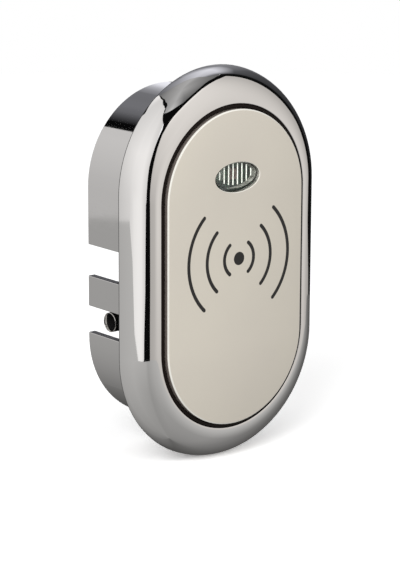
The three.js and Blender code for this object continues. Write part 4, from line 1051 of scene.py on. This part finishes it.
# Inner moulding: black glass-filled nylon, with the battery bay above and the gear chamber below.
# Two screws through its ears hold it to the casting's upper bosses.
moulding = surface("black_nylon", (0.028, 0.029, 0.032), 0.5)
moulding_grain = noise(moulding, 2600, 4)
between(moulding, "Roughness", moulding_grain, 0.42, 0.62, depth=0.00003)
between(moulding, "Base Color", moulding_grain, (0.022, 0.023, 0.026), (0.036, 0.037, 0.041))
softened("chassis", 0.1, moulding)
large_screw = {"head": 1.9, "shank": 0.9, "length": 8, "cross": 1.15}
for side in ("left", "right"):
    screw(f"chassis_screw_{side}", 19.7, head_height=1.1, **large_screw)


# Bolt: a die-cast bolt with a rack, ground and nickel plated. It slides in a channel of the inner
# moulding, in which a steel plate with one screw keeps it.
bolt_coat = surface("ground_nickel", (0.68, 0.66, 0.62), 0.24, metallic=1.0)
between(bolt_coat, "Roughness", noise(bolt_coat, 900, 4, (0.15, 1, 1)), 0.16, 0.34, depth=0.000012)
softened("bolt", 0.2, bolt_coat)
softened("gear_plate", 0.15, steel)
screw("gear_plate_screw", 12.2, length=6, **small_screw)


# Drive wheel: a worm wheel moulded in white acetal in one piece with the pinion that drives the
# bolt. It turns on a ground steel pin.
acetal = surface("white_acetal", (0.78, 0.76, 0.7), 0.35)
between(acetal, "Base Color", noise(acetal, 400), (0.74, 0.72, 0.65), (0.82, 0.8, 0.75), depth=0.00002)
softened("drive_wheel", 0.1, acetal)
softened("wheel_arbor", 0.12, steel)


# Motor: a small motor in a steel can with a black end cap, and a turned brass worm on its shaft.
# A slotted sensor reads the flag on the bolt.
brass = surface("turned_brass", (0.68, 0.47, 0.16), 0.25, metallic=1.0)
between(brass, "Roughness", noise(brass, 2500, 2, (1, 0.1, 0.1)), 0.18, 0.34, depth=0.00001)
softened("worm", 0.1, brass)
softened("motor_shaft", 0.12, steel)
softened("motor_can", 0.2, steel)
softened("motor_end_cap", 0.12, epoxy)
softened("bolt_sensor", 0.12, epoxy)


# Side sleeve: a plated steel tube pressed into the inner moulding. The screw through the door's
# return edge enters its wide mouth and bites in the thread behind.
sleeve_y = 12.8
sleeve_z = -16.2
sleeve_mouth_x = -28.1
sleeve_end_x = -13.7
sleeve_radius = 2.9
sleeve_edge = 0.2
mouth_radius = 2.72
mouth_edge = (0.04, 0.05)
mouth_rim = (0.08, 0.12)
cone_radius = 2.3
cone_depth = 0.8
bore_depth = 3.5
thread_root = 2.0
thread_crest = 1.65
thread_pitch = 0.7
thread_start = 0.15
thread_flats = (0.08, 0.04)
shaded_bore_radius = 2.32
profile = [
    (thread_root, sleeve_mouth_x + bore_depth), (cone_radius, sleeve_mouth_x + bore_depth),
    (cone_radius, sleeve_mouth_x + cone_depth), (mouth_radius, sleeve_mouth_x + mouth_edge[1]),
    (mouth_radius + mouth_edge[0], sleeve_mouth_x), (sleeve_radius - mouth_rim[0], sleeve_mouth_x),
    (sleeve_radius, sleeve_mouth_x + mouth_rim[1]), (sleeve_radius, sleeve_end_x - sleeve_edge),
    (sleeve_radius - sleeve_edge, sleeve_end_x), (thread_crest + sleeve_edge, sleeve_end_x),
]
thread_turns = int((sleeve_end_x - sleeve_mouth_x - bore_depth) / thread_pitch)
for turn in range(thread_turns):
    crest = sleeve_end_x - thread_start - turn * thread_pitch
    root = crest - thread_pitch / 2
    profile += [(thread_crest, crest), (thread_crest, crest - thread_flats[0]),
                (thread_root, root), (thread_root, root - thread_flats[1])]
profile.append(profile[0])
bm = bmesh.new()
turned(bm, profile, (0, sleeve_y, sleeve_z), axis=(1, 0, 0), steps=56)
smoothed(bm)
# Painted shade: the threaded bore inside this radius is made near black, standing for the shade deep in the
# tube.
for f in bm.faces:
    middle = f.calc_center_median() / mm
    f.material_index = int(Vector((middle.y - sleeve_y, middle.z - sleeve_z)).length < shaded_bore_radius)
tube = surface("plated_tube", (0.74, 0.73, 0.71), 0.1, metallic=1.0)
between(tube, "Roughness", noise(tube, 1500, 3, (1, 0.2, 0.2)), 0.06, 0.14)
bore = surface("bore_painted_shade", (0.012, 0.012, 0.012), 0.4)
between(bore, "Roughness", noise(bore, 1500), 0.3, 0.5)
sleeve = finished("threaded_sleeve", bm, tube, bore)
creased(sleeve, 30)
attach(sleeve, "housing_body")
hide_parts("side_sleeve")


# Battery contacts: strips of nickel-plated spring steel, pushed into slots in the end walls of
# the battery bay.
for name in ("contact_left_front", "contact_left_rear", "contact_right_bridge", "terminal_positive",
             "terminal_negative"):
    softened(name, 0.06, nickel)


# Cells: four dry cells in printed steel jackets, in two layers of two. A conical spring of plated
# wire at each negative end presses the cell against the contact at its other end.
cell_places = {1: (1, 5.05, 12.75), 2: (-1, 5.05, 23.35), 3: (1, 15.55, 23.35), 4: (-1, 15.55, 12.75)}
cell_radius = 5.15
cell_tail = ((0, 0.1), (3.2, 0), (4.4, 0), (4.6, 0.35), (4.9, 0.35), (cell_radius, 0.6))
cell_nose = ((cell_radius, 1.6), (4.9, 1.3), (4.6, 1.3), (4.4, 0.95), (2.1, 0.9), (1.9, 0.7), (1.9, 0.15),
             (1.7, 0), (0, 0))
jacket_bands = ((0, (0.5, 0.5, 0.5)), (0.013, (0.03, 0.075, 0.16)), (0.7, (0.62, 0.36, 0.16)),
                (0.965, (0.55, 0.55, 0.54)))
bare_bands = ((0, (1, 1, 1)), (0.013, (0.15, 0.15, 0.15)), (0.965, (1, 1, 1)))
wire_radius = 0.25
spring_turns = 3
spring_turn_steps = 32
spring_radius = 3.05
spring_taper = 1.3
spring_flat = 0.12


def banded(owner, entry, place, bands):
    """A socket that changes from band to band, each of which has a start and a colour."""
    ramp = node(owner, "ShaderNodeValToRGB")
    ramp.color_ramp.interpolation = "CONSTANT"
    stops = ramp.color_ramp.elements
    for start, colour in bands[2:]:
        stops.new(start)
    for stop, (start, colour) in zip(stops, bands):
        stop.position = start
        stop.color = (*colour, 1)
    join(owner, place, 0, ramp, "Fac")
    join(owner, ramp, "Color", shader_of(owner), entry)


for place, (side, y, z) in cell_places.items():
    low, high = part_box(f"battery_cell_{place}")
    tail = (low.x if side > 0 else -high.x) / mm
    nose = (high.x if side > 0 else -low.x) / mm
    profile = [(radius, tail + along) for radius, along in cell_tail]
    profile += [(radius, nose - along) for radius, along in cell_nose]
    bm = bmesh.new()
    turned(bm, profile, (0, y, z), axis=(side, 0, 0), steps=40)
    smoothed(bm)
    jacket = surface(f"cell_jacket_{place}", (0.06, 0.12, 0.22), 0.3)
    jacket_place = node(jacket, "ShaderNodeTexCoord")
    jacket_axis = node(jacket, "ShaderNodeSeparateXYZ")
    jacket_share = node(jacket, "ShaderNodeMapRange")
    jacket_share.inputs["From Min"].default_value = side * tail * mm
    jacket_share.inputs["From Max"].default_value = side * nose * mm
    join(jacket, jacket_place, "Object", jacket_axis, 0)
    join(jacket, jacket_axis, "X", jacket_share, "Value")
    banded(jacket, "Base Color", jacket_share, jacket_bands)
    banded(jacket, "Metallic", jacket_share, bare_bands)
    cell = finished(f"dry_cell_{place}", bm, jacket)
    creased(cell, 40)
    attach(cell, "housing_body")
    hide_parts(f"battery_cell_{place}")

    spring_name = f"battery_spring_{place}"
    low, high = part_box(spring_name)
    wall_x = (low.x if side > 0 else -high.x) / mm + wire_radius
    free_x = (high.x if side > 0 else -low.x) / mm - wire_radius
    spring = bpy.data.curves.new("coiled_spring", "CURVE")
    spring.dimensions = "3D"
    spring.bevel_depth = wire_radius * mm
    spring.bevel_resolution = 3
    spring.use_fill_caps = True
    wire = spring.splines.new("POLY")
    steps = spring_turns * spring_turn_steps
    wire.points.add(steps)
    for step, point in enumerate(wire.points):
        share = step / steps
        radius = spring_radius - spring_taper * share
        turn = 2 * math.pi * spring_turns * share
        rise = min(max((share - spring_flat) / (1 - 2 * spring_flat), 0), 1)
        point.co = (*(Vector((
            side * (wall_x + (free_x - wall_x) * rise),
            y + radius * math.cos(turn),
            z + radius * math.sin(turn),
        )) * mm), 1)
    made = bpy.data.objects.new(f"coil_spring_{place}", spring)
    scene.collection.objects.link(made)
    made.data.materials.append(nickel)
    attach(made, "housing_body")
    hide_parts(spring_name)


# Rear cover: a black nylon moulding over the gear chamber, with a stiffening rib inside its edge
# and a counterbored hole for each of its four self-tapping screws.
softened("rear_cover", 0.15, moulding)
for place in range(1, 5):
    screw(f"rear_cover_screw_{place}", 21.95, head_height=0.65, **large_screw)


# Battery lid: a black nylon moulding that swings on two pintles between the inner moulding's ears.
# A sprung tongue with a ridge for the thumb holds it shut.
softened("battery_lid", 0.12, moulding)
